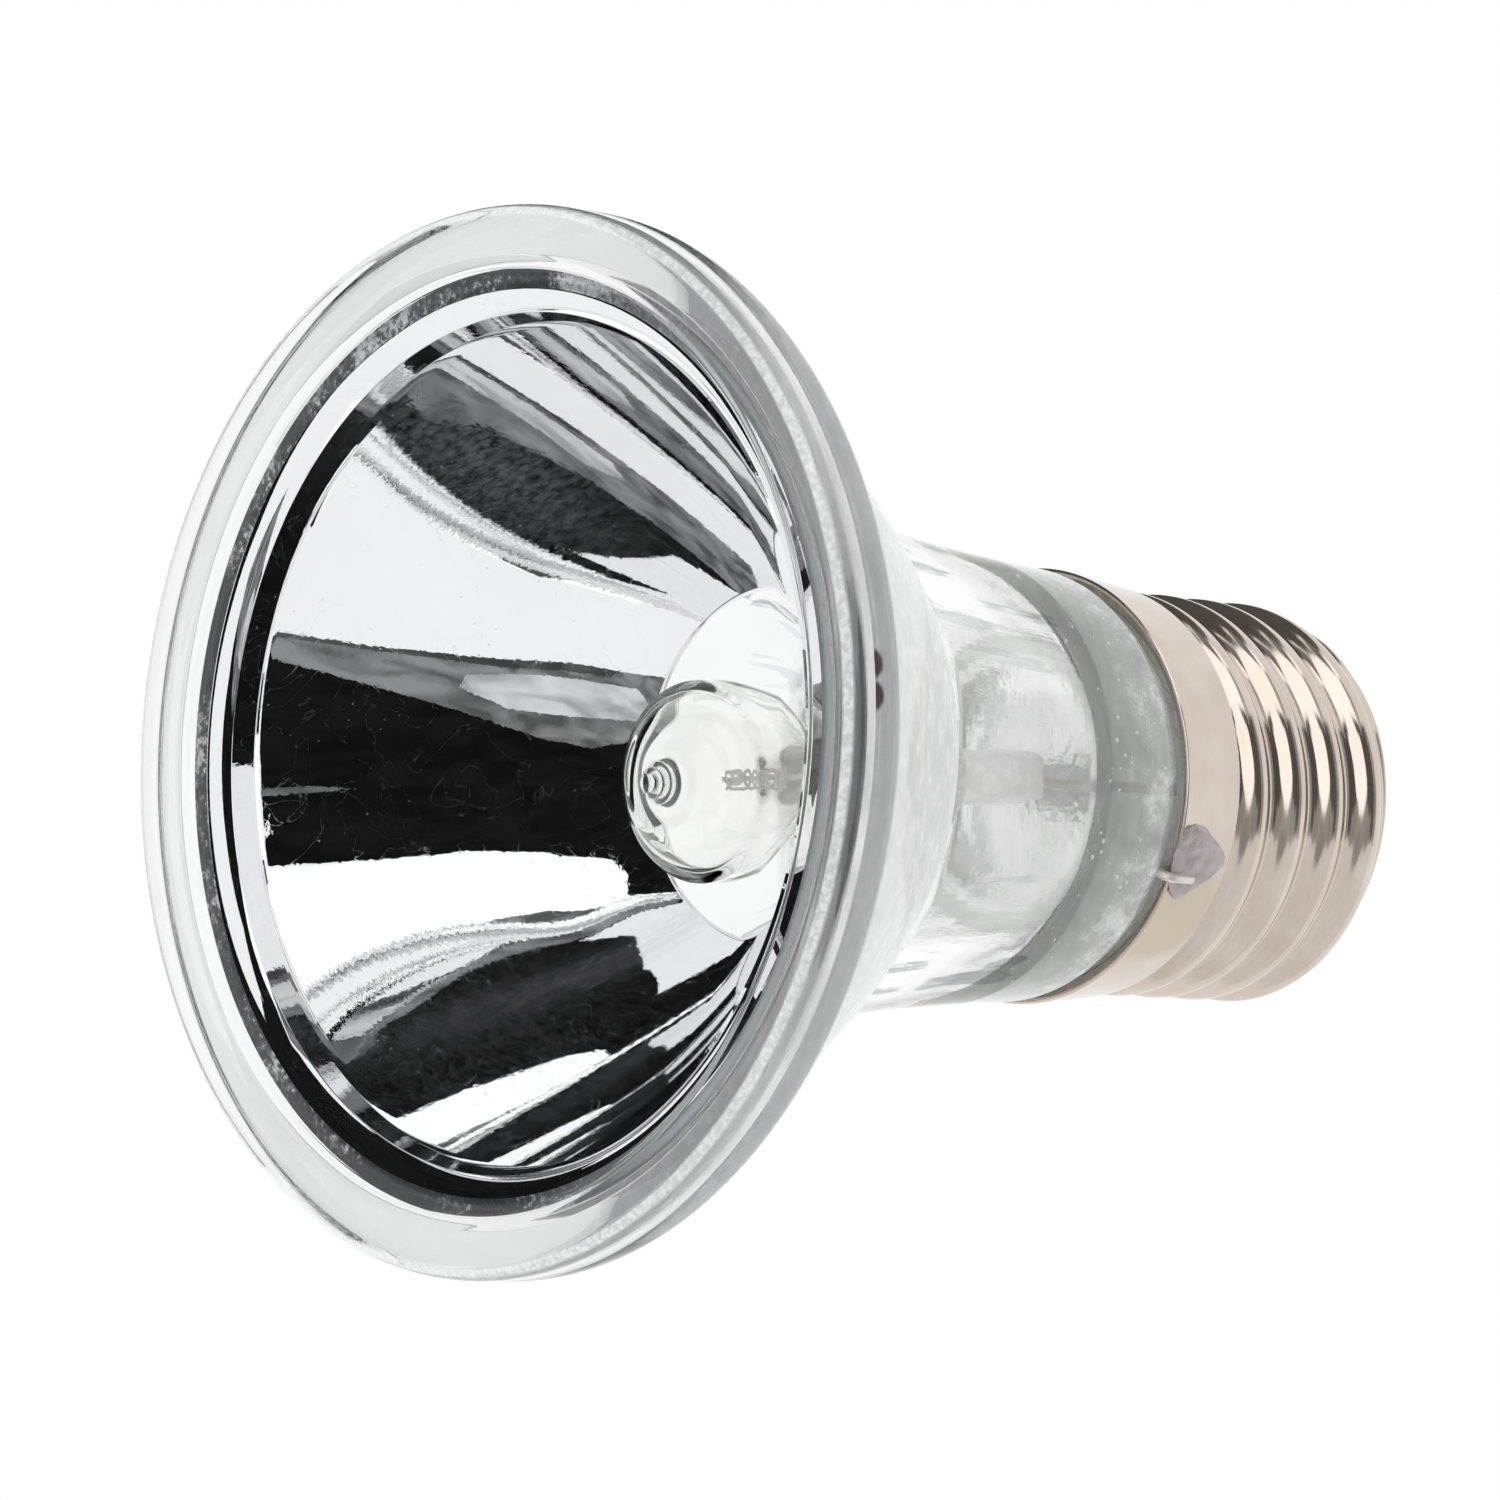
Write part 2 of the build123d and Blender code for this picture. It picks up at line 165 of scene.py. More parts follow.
@dataclass(frozen=True)
class Finish:
    """A surface finish: what the material is, and how its surface was made."""

    name: str
    colour: str = "#ffffff"
    roughness: float = 0.0

    def make(self) -> Material:
        """Builds the material.

        Returns:
            A node material with this finish.
        """
        material = bpy.data.materials.new(self.name)
        material.use_nodes = True
        tree = material.node_tree
        tree.nodes.clear()
        add = partial(add_node, tree)
        place = add("TexCoord").outputs["Object"]
        add("OutputMaterial", {"Surface": self.surface(add, place)})
        return material

    def surface(self, add: Adder, place: Socket) -> Node:
        """Adds the finish's shader.

        Args:
            add: Adds a node to the material.
            place: Object coordinates.

        Returns:
            The shader.
        """
        raise NotImplementedError


@dataclass(frozen=True)
class PressedGlass(Finish):
    """Clear glass pressed in a mould: broad waves and a fine skin of ripples bend what is seen through it."""

    wave_mm: float = 7.0
    wave_depth_mm: float = 0.02
    skin_mm: float = 0.9
    skin_depth_mm: float = 0.0015
    ior: float = 1.2
    polish_ior: float = 1.45
    polish_roughness: float = 0.03
    dull_gain: float = 1.8

    def surface(self, add: Adder, place: Socket) -> Node:
        """Glass with two sizes of ripple and a faint change of polish.

        Args:
            add: Adds a node to the material.
            place: Object coordinates.

        Returns:
            The shader.
        """
        wave = add("TexNoise", {"Vector": place, "Scale": per_mm(self.wave_mm), "Detail": 1.0})
        skin = add("TexNoise", {"Vector": place, "Scale": per_mm(self.skin_mm), "Detail": 2.0})
        broad = add("Bump", {"Distance": self.wave_depth_mm * MM, "Height": wave})
        fine = add("Bump", {"Distance": self.skin_depth_mm * MM, "Height": skin, "Normal": broad})
        stops = [(0.3, grey(self.roughness)), (0.75, grey(self.roughness * self.dull_gain))]
        polish = add("ValToRGB", {"Fac": wave}, stops)
        glass = {
            "Base Color": linear(self.colour),
            "Roughness": polish,
            "IOR": self.ior,
            "Transmission Weight": 1.0,
            "Coat Weight": 1.0,
            "Coat Roughness": self.polish_roughness,
            "Coat IOR": self.polish_ior,
            "Normal": fine,
        }
        return add("BsdfPrincipled", glass)

    def filmed(self, add: Adder, under: Node, share: Node, colour: str) -> Node:
        """A shader under a dull film of one colour, which covers the share given."""
        film = add("BsdfDiffuse", {"Color": linear(colour)})
        return add("MixShader", {"Fac": share, 1: under, 2: film})


@dataclass(frozen=True)
class ClearPane(Finish):
    """A flat polished window: it shifts a look through it, lets reflections out, and shines at a slant."""

    ior: float = 1.49
    cloud_mm: float = 12.0
    shine: tuple[Point, ...] = ((0.0, 0.012), (0.4, 0.015), (0.75, 0.1), (1.0, 0.8))

    def surface(self, add: Adder, place: Socket) -> Node:
        """Clear pane with a faint change of tint.

        Args:
            add: Adds a node to the material.
            place: Object coordinates.

        Returns:
            The shader.
        """
        cloud = add("TexNoise", {"Vector": place, "Scale": per_mm(self.cloud_mm), "Detail": 2.0})
        tint = add("ValToRGB", {"Fac": cloud}, [(0.3, linear(self.colour)), (0.7, grey(1.0))])
        facing = add("LayerWeight", {"Blend": 0.5}).outputs["Facing"]
        share = add("ValToRGB", {"Fac": facing}, [(at, grey(part)) for at, part in self.shine])
        path = add("LightPath").outputs
        rays = {0: path["Is Camera Ray"], 1: path["Is Transmission Ray"]}
        looking = add("Math", rays, operation="MAXIMUM")
        clear = add("BsdfTransparent", {"Color": tint})
        bent = add("BsdfRefraction", {"Color": tint, "Roughness": 0.0, "IOR": self.ior})
        body = add("MixShader", {"Fac": looking, 1: clear, 2: bent})
        gloss = add("BsdfGlossy", {"Roughness": self.roughness})
        seen = add("Math", {0: share, 1: looking}, operation="MULTIPLY")
        return add("MixShader", {"Fac": seen, 1: body, 2: gloss})


@dataclass(frozen=True)
class Swell:
    """A rounded hill on the mirror, by angle from +X, radius, sizes in millimetres and height."""

    angle_deg: float
    radius: float
    around: float
    along: float
    height: float

    def hill(self, add: Adder, angle: Node, radius: Node) -> Node:
        """Adds the hill.

        Args:
            add: Adds a node to the material.
            angle: Angle round the axis in radians.
            radius: Distance from the axis in millimetres.

        Returns:
            Its height.
        """
        turn = add("Math", {0: angle, 1: math.radians(self.angle_deg)}, operation="SUBTRACT")
        near = add("Math", {0: turn, 1: math.pi, 2: -math.pi}, operation="WRAP")
        side = add("Math", {0: near, 1: radius}, operation="MULTIPLY")
        out = add("Math", {0: radius, 1: self.radius}, operation="SUBTRACT")
        flat = add("CombineXYZ", {"X": side, "Y": out})
        sized = add("VectorMath", {0: flat, 1: (self.around, self.along, 1.0)}, operation="DIVIDE")
        square = add("VectorMath", {0: sized, 1: sized}, operation="DOT_PRODUCT")
        fall = add("Math", {0: math.exp(-1.0), 1: square}, operation="POWER")
        return add("Math", {0: fall, 1: self.height}, operation="MULTIPLY")


@dataclass(frozen=True)
class LaidAluminium(Finish):
    """Aluminium laid on glass in a vacuum: a bright mirror with the glass's waves, dust and scratches."""

    swells: tuple[Swell, ...] = (
        Swell(55, 20.0, 8.0, 9.5, -0.13),
        Swell(114, 22.0, 6.0, 9.0, 0.10),
        Swell(150, 25.0, 3.5, 9.0, 0.12),
        Swell(198, 16.0, 2.5, 10.0, 0.05),
        Swell(213, 21.0, 6.0, 5.0, 0.035),
        Swell(7, 20.0, 11.0, 7.5, 0.125),
        Swell(69, 14.5, 11.0, 2.5, 0.08),
    )
    hazes: tuple[Swell, ...] = (Swell(146, 21.5, 4.0, 4.5, 0.34), Swell(28, 21.0, 9.0, 5.0, 0.10))
    haze: str = "#d4d5d7"
    haze_roughness: float = 0.55
    wave_mm: float = 9.0
    wave_depth_mm: float = 0.016
    grain_mm: float = 0.4
    grain_depth_mm: float = 0.0015
    scratch_mm: float = 6.0
    scratch_share: float = 0.6
    smear_mm: float = 0.4
    smear_turn: Place = (0.4, 0.9, 0.5)
    smear_stretch: Place = (1.0, 0.12, 1.0)
    dust_mm: float = 1.1
    dust_share: float = 0.12
    dust_dulling: float = 0.16

    def surface(self, add: Adder, place: Socket) -> Node:
        """Mirror metal with swells, a fine grain, specks of dust, thin scratches and wiped haze.

        Args:
            add: Adds a node to the material.
            place: Object coordinates.

        Returns:
            The shader.
        """
        split = add("SeparateXYZ", {"Vector": place}).outputs
        angle = add("Math", {0: split["Y"], 1: split["X"]}, operation="ARCTAN2")
        flat = add("VectorMath", {0: place, 1: (1 / MM, 1 / MM, 0.0)}, operation="MULTIPLY")
        radius = add("VectorMath", {0: flat}, operation="LENGTH")
        wave = add("TexNoise", {"Vector": place, "Scale": per_mm(self.wave_mm), "Detail": 1.0})
        height = add("Math", {0: wave, 1: self.wave_depth_mm}, operation="MULTIPLY")
        for swell in self.swells:
            height = add("Math", {0: height, 1: swell.hill(add, angle, radius)}, operation="ADD")
        grain = add("TexNoise", {"Vector": place, "Scale": per_mm(self.grain_mm), "Detail": 2.0})
        broad = add("Bump", {"Distance": MM, "Height": height})
        fine = add("Bump", {"Distance": self.grain_depth_mm * MM, "Height": grain, "Normal": broad})
        specks = add("TexVoronoi", {"Vector": place, "Scale": per_mm(self.dust_mm)})
        dust = add("ValToRGB", {"Fac": specks}, [(0.06, grey(1.0)), (0.085, grey(0.0))])
        hairs = {"Vector": place, "Scale": per_mm(self.scratch_mm), "Detail": 3.0, "Distortion": 2.0}
        line = add("Math", {0: add("TexNoise", hairs), 1: 0.5}, operation="SUBTRACT")
        thin = add("Math", {0: line}, operation="ABSOLUTE")
        stops = [(0.0, grey(self.scratch_share)), (0.006, grey(0.0))]
        scratch = add("ValToRGB", {"Fac": thin}, stops)
        marks = add("Math", {0: dust, 1: scratch}, operation="MAXIMUM")
        stops = [(0.0, grey(self.roughness)), (1.0, grey(self.roughness + self.dust_dulling))]
        dull = add("ValToRGB", {"Fac": marks}, stops)
        bright = {"Base Color": linear(self.colour), "Metallic": 1.0, "Roughness": dull, "Normal": fine}
        metal = add("BsdfPrincipled", bright)
        wipe = {"Vector": place, "Rotation": self.smear_turn, "Scale": self.smear_stretch}
        wiped = add("Mapping", wipe)
        smears = {"Vector": wiped, "Scale": per_mm(self.smear_mm), "Detail": 6.0, "Roughness": 0.75}
        smear = add("TexNoise", smears)
        patchy = add("ValToRGB", {"Fac": smear}, [(0.38, grey(0.05)), (0.7, grey(1.0))])
        share = add("Math", {0: marks, 1: self.dust_share}, operation="MULTIPLY")
        for spot in self.hazes:
            cloud = spot.hill(add, angle, radius)
            share = add("Math", {0: cloud, 1: patchy, 2: share}, operation="MULTIPLY_ADD")
        matt = {"Base Color": linear(self.haze), "Metallic": 1.0, "Roughness": self.haze_roughness}
        worn = add("BsdfPrincipled", matt)
        return add("MixShader", {"Fac": share, 1: metal, 2: worn})


@dataclass(frozen=True)
class CloudedGlass(PressedGlass):
    """Pressed glass dulled by dust, satin or heat: white clouds lie on it from one height upwards."""

    chalk: str = "#e4e9e6"
    cloud_mm: float = 3.0
    clear_share: float = 0.10
    cloud_share: float = 0.75
    fade_mm: Point = (40.0, 44.5)

    def surface(self, add: Adder, place: Socket) -> Node:
        """Clear glass under patches of chalky haze.

        Args:
            add: Adds a node to the material.
            place: Object coordinates.

        Returns:
            The shader.
        """
        glass = super().surface(add, place)
        clouds = {"Vector": place, "Scale": per_mm(self.cloud_mm), "Detail": 8.0, "Roughness": 0.66}
        cloud = add("TexNoise", clouds)
        middle = 0.7 * self.clear_share + 0.3 * self.cloud_share
        parts = ((0.36, self.clear_share), (0.52, middle), (0.66, self.cloud_share))
        cover = add("ValToRGB", {"Fac": cloud}, [(at, grey(part)) for at, part in parts])
        height = add("SeparateXYZ", {"Vector": place}).outputs["Z"]
        start, end = self.fade_mm
        fade = add("MapRange", {"Value": height, "From Min": start * MM, "From Max": end * MM})
        share = add("Math", {0: cover, 1: fade}, operation="MULTIPLY")
        return self.filmed(add, glass, share, self.chalk)


@dataclass(frozen=True)
class ScorchedGlass(PressedGlass):
    """Pressed glass sealed by a flame: clear, with two short brown marks where the flame dwelt."""

    scorch: str = "#3b2c25"
    scorch_share: float = 0.9
    spots_mm: tuple[Place, ...] = ((-4.44, -31.6, 1.18), (-2.62, -31.8, 1.18))
    spot_radius_mm: float = 1.36
    spot_edge_mm: float = 0.15

    def surface(self, add: Adder, place: Socket) -> Node:
        """Clear glass with scorched spots.

        Args:
            add: Adds a node to the material.
            place: Object coordinates.

        Returns:
            The shader.
        """
        shader = super().surface(add, place)
        inner, outer = self.spot_radius_mm * MM, (self.spot_radius_mm + self.spot_edge_mm) * MM
        fall = {"From Min": inner, "From Max": outer, "To Min": self.scorch_share, "To Max": 0.0}
        for spot in self.spots_mm:
            middle = tuple(side * MM for side in spot)
            away = add("VectorMath", {0: place, 1: middle}, operation="DISTANCE")
            share = add("MapRange", {"Value": away, **fall})
            shader = self.filmed(add, shader, share, self.scorch)
        return shader


@dataclass(frozen=True)
class HighlitEdgeGlass(PressedGlass):
    """A clear pressed lens with a painted highlight: a speckled white band on its rounded edge stands for
    light glinting there.
    """

    # White of the painted highlight along the rounded edge
    chalk: str = "#f6f8f8"
    highlight_mm: Point = (31.0, 32.0)
    highlight_height_mm: Point = (0.8, 0.96)
    highlight_share: float = 0.72
    speck_mm: float = 0.35

    def surface(self, add: Adder, place: Socket) -> Node:
        """Clear glass with a painted highlight: a white line round its edge.

        Args:
            add: Adds a node to the material.
            place: Object coordinates.

        Returns:
            The shader.
        """
        glass = super().surface(add, place)
        flat = add("VectorMath", {0: place, 1: (1.0, 1.0, 0.0)}, operation="MULTIPLY")
        radius = add("VectorMath", {0: flat}, operation="LENGTH")
        inner, outer = self.highlight_mm
        across = add("MapRange", {"Value": radius, "From Min": inner * MM, "From Max": outer * MM})
        parts = ((0.22, 0.0), (0.36, self.highlight_share), (0.74, self.highlight_share), (0.88, 0.0))
        line = add("ValToRGB", {"Fac": across}, [(at, grey(part)) for at, part in parts])
        height = add("SeparateXYZ", {"Vector": place}).outputs["Z"]
        low, high = self.highlight_height_mm
        fall = {"From Min": low * MM, "From Max": high * MM, "To Min": 1.0, "To Max": 0.0}
        front = add("MapRange", {"Value": height, **fall})
        specks = add("TexNoise", {"Vector": place, "Scale": per_mm(self.speck_mm), "Detail": 2.0})
        grit = add("ValToRGB", {"Fac": specks}, [(0.4, grey(0.7)), (0.62, grey(1.0))])
        # Painted highlight: white film where the rounded edge catches the light, broken by specks
        worn = add("Math", {0: line, 1: front}, operation="MULTIPLY")
        share = add("Math", {0: worn, 1: grit}, operation="MULTIPLY")
        return self.filmed(add, glass, share, self.chalk)


@dataclass(frozen=True)
class ShadeStreakedGlass(PressedGlass):
    """The wall of a pressed neck: ribs run along it where the mould drew the glass, and grey streaks of
    painted shade in its tint stand for dark surroundings seen through it.
    """

    # Tints of the painted shade in the streaks
    shade_streak: str = "#c2c6c6"
    shade_streak_core: str = "#d2d6d6"
    streak_count: float = 12.0
    streak_length_mm: float = 70.0
    fade_mm: Point = (38.0, 43.0)
    calm_mm: Point = (8.0, 12.0)
    root_mm: Point = (31.0, 27.0)
    fade_loss: float = 0.3
    calm_loss: float = 0.13
    shift: float = 0.0

    def surface(self, add: Adder, place: Socket) -> Node:
        """Glass with painted shade: its tint greys in ragged streaks along the axis, fewer at both ends and
        where the wall lies far from the plane of X and Z.

        Args:
            add: Adds a node to the material.
            place: Object coordinates.

        Returns:
            The shader.
        """
        split = add("SeparateXYZ", {"Vector": place}).outputs
        angle = add("TexGradient", {"Vector": place}, gradient_type="RADIAL").outputs["Fac"]
        around = add("Math", {0: angle, 1: self.streak_count}, operation="MULTIPLY")
        along = add("Math", {0: split["Z"], 1: per_mm(self.streak_length_mm)}, operation="MULTIPLY")
        where = add("CombineXYZ", {"X": around, "Y": along, "Z": self.shift})
        band = add("TexNoise", {"Vector": where, "Scale": 2.0, "Detail": 5.0, "Roughness": 0.55})
        depth = add("Math", {0: split["Y"]}, operation="ABSOLUTE")
        losses = (
            (split["Z"], self.fade_mm, self.fade_loss),
            (depth, self.calm_mm, self.calm_loss),
            (split["Z"], self.root_mm, self.fade_loss),
        )
        kept = band
        for measure, (start, end), most in losses:
            span = {"From Min": start * MM, "From Max": end * MM, "To Max": most}
            loss = add("MapRange", {"Value": measure, **span})
            kept = add("Math", {0: kept, 1: loss}, operation="SUBTRACT")
        # Painted shade: grey tints for the streaks where dark surroundings show through the wall
        tones = ((0.53, self.colour), (0.56, self.shade_streak), (0.75, self.shade_streak_core))
        tint = add("ValToRGB", {"Fac": kept}, [(at, linear(tone)) for at, tone in tones])
        bump = add("Bump", {"Distance": self.wave_depth_mm * MM, "Height": band})
        glass = {"Base Color": tint, "Roughness": self.roughness, "IOR": self.ior, "Normal": bump}
        return add("BsdfPrincipled", {**glass, "Transmission Weight": 1.0})


@dataclass(frozen=True)
class GrainyMetal(Finish):
    """Metal with a fine grain or pitting that breaks its shine, such as frozen solder or drawn wire."""

    second: str = "#808080"
    grain_mm: float = 0.5
    grain_depth_mm: float = 0.02
    patch_mm: float = 5.0
    metallic: float = 1.0
    dull_gain: float = 1.5

    def surface(self, add: Adder, place: Socket) -> Node:
        """Metal in two tones with a grain in its bump.

        Args:
            add: Adds a node to the material.
            place: Object coordinates.

        Returns:
            The shader.
        """
        grain = add("TexNoise", {"Vector": place, "Scale": per_mm(self.grain_mm), "Detail": 3.0})
        patch = add("TexNoise", {"Vector": place, "Scale": per_mm(self.patch_mm), "Detail": 4.0})
        tones = [(0.35, linear(self.colour)), (0.7, linear(self.second))]
        tone = add("ValToRGB", {"Fac": patch}, tones)
        stops = [(0.3, grey(self.roughness)), (0.8, grey(min(1.0, self.roughness * self.dull_gain)))]
        dull = add("ValToRGB", {"Fac": grain}, stops)
        bump = add("Bump", {"Distance": self.grain_depth_mm * MM, "Height": grain})
        metal = {"Base Color": tone, "Metallic": self.metallic, "Roughness": dull, "Normal": bump}
        return add("BsdfPrincipled", metal)


@dataclass(frozen=True)
class StippledEdge(Finish):
    """The coating's rough outer edge: dark where it has thinned, with bright specks of whole metal."""

    fleck: str = "#6d7075"
    speck: str = "#e8e8ea"
    whole: str = "#b4babd"
    whole_mm: Point = (-4.0, -18.0)
    speck_mm: float = 0.45
    speck_depth_mm: float = 0.05
    patch_mm: float = 6.0
    metallic: float = 0.6

    def surface(self, add: Adder, place: Socket) -> Node:
        """Dark metal with bright specks, whole along one side.

        Args:
            add: Adds a node to the material.
            place: Object coordinates.

        Returns:
            The shader.
        """
        flecks = {"Vector": place, "Scale": per_mm(self.speck_mm), "Detail": 4.0, "Roughness": 0.7}
        fleck = add("TexNoise", flecks)
        patch = add("TexNoise", {"Vector": place, "Scale": per_mm(self.patch_mm), "Detail": 2.0})
        both = add("Math", {0: fleck, 1: patch}, operation="ADD")
        half = add("Math", {0: both, 1: 0.5}, operation="MULTIPLY")
        tones = ((0.46, self.colour), (0.53, self.fleck), (0.60, self.speck))
        tone = add("ValToRGB", {"Fac": half}, [(at, linear(colour)) for at, colour in tones])
        across = add("SeparateXYZ", {"Vector": place}).outputs["Y"]
        start, end = self.whole_mm
        side = add("MapRange", {"Value": across, "From Min": start * MM, "From Max": end * MM})
        whole = add("Mix", {0: side, "A": tone, "B": linear(self.whole)}, data_type="RGBA")
        bump = add("Bump", {"Distance": self.speck_depth_mm * MM, "Height": fleck})
        metal = {"Base Color": whole, "Metallic": self.metallic, "Roughness": self.roughness, "Normal": bump}
        return add("BsdfPrincipled", metal)


@dataclass(frozen=True)
class RolledNickel(Finish):
    """Nickel-plated sheet rolled into a thread: a warm shine with faint roll marks and a flux stain."""

    deep: str = "#cdc0b4"
    pale: str = "#ded4ca"
    stain: str = "#bdb192"
    stain_at_mm: Place = (8.2, -11.2, 50.2)
    stain_mm: Point = (4.2, 5.4)
    stain_share: float = 0.5
    stain_dulling: float = 0.35
    ragged_mm: float = 2.5
    mark_mm: float = 0.35
    mark_depth_mm: float = 0.004
    mark_stretch: Place = (0.12, 0.12, 1.0)
    cloud_mm: float = 3.5
    dull_gain: float = 1.7
    metallic: float = 0.88

    def surface(self, add: Adder, place: Socket) -> Node:
        """Warm metal with roll marks, soft clouds and one patch of flux.

        Args:
            add: Adds a node to the material.
            place: Object coordinates.

        Returns:
            The shader.
        """
        along = add("Mapping", {"Vector": place, "Scale": self.mark_stretch})
        marks = add("TexNoise", {"Vector": along, "Scale": per_mm(self.mark_mm), "Detail": 2.0})
        cloud = add("TexNoise", {"Vector": place, "Scale": per_mm(self.cloud_mm), "Detail": 4.0})
        tones = ((0.3, self.deep), (0.6, self.colour), (0.85, self.pale))
        tone = add("ValToRGB", {"Fac": cloud}, [(at, linear(colour)) for at, colour in tones])
        middle = tuple(side * MM for side in self.stain_at_mm)
        away = add("VectorMath", {0: place, 1: middle}, operation="DISTANCE")
        ragged = add("Math", {0: cloud, 1: self.ragged_mm * MM, 2: away}, operation="MULTIPLY_ADD")
        inner, outer = self.stain_mm
        fall = {"From Min": inner * MM, "From Max": outer * MM, "To Min": self.stain_share, "To Max": 0.0}
        spot = add("MapRange", {"Value": ragged, **fall})
        stained = add("Mix", {0: spot, "A": tone, "B": linear(self.stain)}, data_type="RGBA")
        stops = [(0.3, grey(self.roughness)), (0.8, grey(self.roughness * self.dull_gain))]
        dull = add("ValToRGB", {"Fac": cloud}, stops)
        matt = add("Math", {0: spot, 1: self.stain_dulling, 2: dull}, operation="MULTIPLY_ADD")
        bump = add("Bump", {"Distance": self.mark_depth_mm * MM, "Height": marks})
        metal = {"Base Color": stained, "Metallic": self.metallic, "Roughness": matt, "Normal": bump}
        return add("BsdfPrincipled", metal)


@dataclass(frozen=True)
class CastSolid(Finish):
    """A moulded or poured solid, such as black glass or chalky cement: grain in tone and surface."""

    second: str = "#404040"
    grain_mm: float = 0.8
    grain_depth_mm: float = 0.02
    coat: float = 0.0

    def surface(self, add: Adder, place: Socket) -> Node:
        """Two tones of one colour with a grain in its bump.

        Args:
            add: Adds a node to the material.
            place: Object coordinates.

        Returns:
            The shader.
        """
        grain = add("TexNoise", {"Vector": place, "Scale": per_mm(self.grain_mm), "Detail": 4.0})
        tones = [(0.35, linear(self.colour)), (0.7, linear(self.second))]
        tone = add("ValToRGB", {"Fac": grain}, tones)
        bump = add("Bump", {"Distance": self.grain_depth_mm * MM, "Height": grain})
        solid = {"Base Color": tone, "Roughness": self.roughness, "Coat Weight": self.coat, "Normal": bump}
        return add("BsdfPrincipled", solid)


@dataclass(frozen=True)
class MilkyGlass(Finish):
    """A glass end that throws light back inside it, clouded by fine bubbles: a pale, soft shine."""

    cloud_mm: float = 2.5
    bubble_mm: float = 0.7
    bubble_depth_mm: float = 0.06

    def surface(self, add: Adder, place: Socket) -> Node:
        """Silvery and milky glass in patches.

        Args:
            add: Adds a node to the material.
            place: Object coordinates.

        Returns:
            The shader.
        """
        cloud = add("TexNoise", {"Vector": place, "Scale": per_mm(self.cloud_mm), "Detail": 4.0})
        bubble = add("TexNoise", {"Vector": place, "Scale": per_mm(self.bubble_mm), "Detail": 2.0})
        shine = add("ValToRGB", {"Fac": cloud}, [(0.35, grey(0.95)), (0.7, grey(0.7))])
        bump = add("Bump", {"Distance": self.bubble_depth_mm * MM, "Height": bubble})
        glass = {"Base Color": linear(self.colour), "Roughness": self.roughness, "Metallic": shine}
        return add("BsdfPrincipled", {**glass, "Normal": bump})


@dataclass(frozen=True)
class StageCard(Finish):
    """A studio card that glows: its brightness drifts a little, as cloth does."""

    tone: Tone = Tone.DARK
    aim: Aim = Aim.BULB
    cloud_mm: float = 230.0
    window_depth: float = 3.5

    def make(self) -> Material:
        """Builds the card's material, which reflections find without a search for lamps.

        Returns:
            A node material with this card's glow.
        """
        material = super().make()
        material.cycles.emission_sampling = "NONE"
        return material

    def surface(self, add: Adder, place: Socket) -> Node:
        """A glow for reflections and one for a look through glass; a cap's card is clear past the window.

        Args:
            add: Adds a node to the material.
            place: Object coordinates.

        Returns:
            The shader.
        """
        mirrored, through, drift = self.tone.value
        clouds = {"Vector": place, "Scale": per_mm(self.cloud_mm), "Detail": 1.5, "Distortion": 0.7}
        cloud = add("TexNoise", clouds)
        stops = [(0.35, grey(mirrored * (1.0 - drift))), (0.65, grey(mirrored * (1.0 + drift)))]
        shade = add("ValToRGB", {"Fac": cloud}, stops)
        path = add("LightPath").outputs
        mix = {0: path["Is Transmission Ray"], "A": shade, "B": grey(through)}
        glow = add("Emission", {"Color": add("Mix", mix, data_type="RGBA")})
        if self.aim is Aim.BULB:
            return glow
        depth = {0: path["Transparent Depth"], 1: self.window_depth}
        inside = add("Math", depth, operation="GREATER_THAN")
        return add("MixShader", {"Fac": inside, 1: glow, 2: add("BsdfTransparent")})


@dataclass(frozen=True)
class PaleFloor(Finish):
    """A pale painted floor that only a camera above it sees, because the bulb stands on its lens."""

    def surface(self, add: Adder, place: Socket) -> Node:
        """Matt paint from above, and nothing from below.

        Args:
            add: Adds a node to the material.
            place: Object coordinates, not used.

        Returns:
            The shader.
        """
        camera = add("LightPath").outputs["Is Camera Ray"]
        below = add("NewGeometry").outputs["Backfacing"]
        above = add("Math", {0: camera, 1: below}, operation="SUBTRACT")
        seen = add("Math", {0: above, 1: 0.0}, operation="MAXIMUM")
        paint = add("BsdfDiffuse", {"Color": linear(self.colour)})
        return add("MixShader", {"Fac": seen, 1: add("BsdfTransparent"), 2: paint})


# Pressed borosilicate: almost colourless, so only its edges and waves show as soft grey lines
BODY_GLASS = ScorchedGlass(
    "borosilicate_glass_pressed_body", "#ffffff", 0.006, wave_mm=5.0, wave_depth_mm=0.05
)
# Drawn along the neck by the mould, with painted shade: pale grey streaks inside and darker ones outside
# stand for dark surroundings seen through the wall
NECK_WALL = ShadeStreakedGlass(
    "borosilicate_glass_drawn_neck_wall", "#ffffff", 0.006, wave_depth_mm=0.1, shade_streak="#dfe2e2"
)
NECK_SKIN = ShadeStreakedGlass(
    "borosilicate_glass_drawn_neck_skin", "#ffffff", 0.006, wave_depth_mm=0.06, shade_streak="#868c8c", shift=3.4
)
# The cavity's thick end: full of light, so it looks like pale silver
NECK_END = MilkyGlass("borosilicate_glass_pressed_milky_end", "#fdfefd", 0.22)
# Glass that sits in cement: it shows the chalky white behind it
BASE_SEAT = CastSolid(
    "glass_base_against_cement", "#d6d9d6", 0.8, second="#e9ebe9", grain_mm=1.2, grain_depth_mm=0.05
)
# Gas bubbles: white specks, drawn coarser than real ones so that they show
BUBBLE = CastSolid(
    "seed_bubbles_in_glass", "#ffffff", 0.4, second="#f4f7f6", grain_mm=0.2, grain_depth_mm=0.01
)
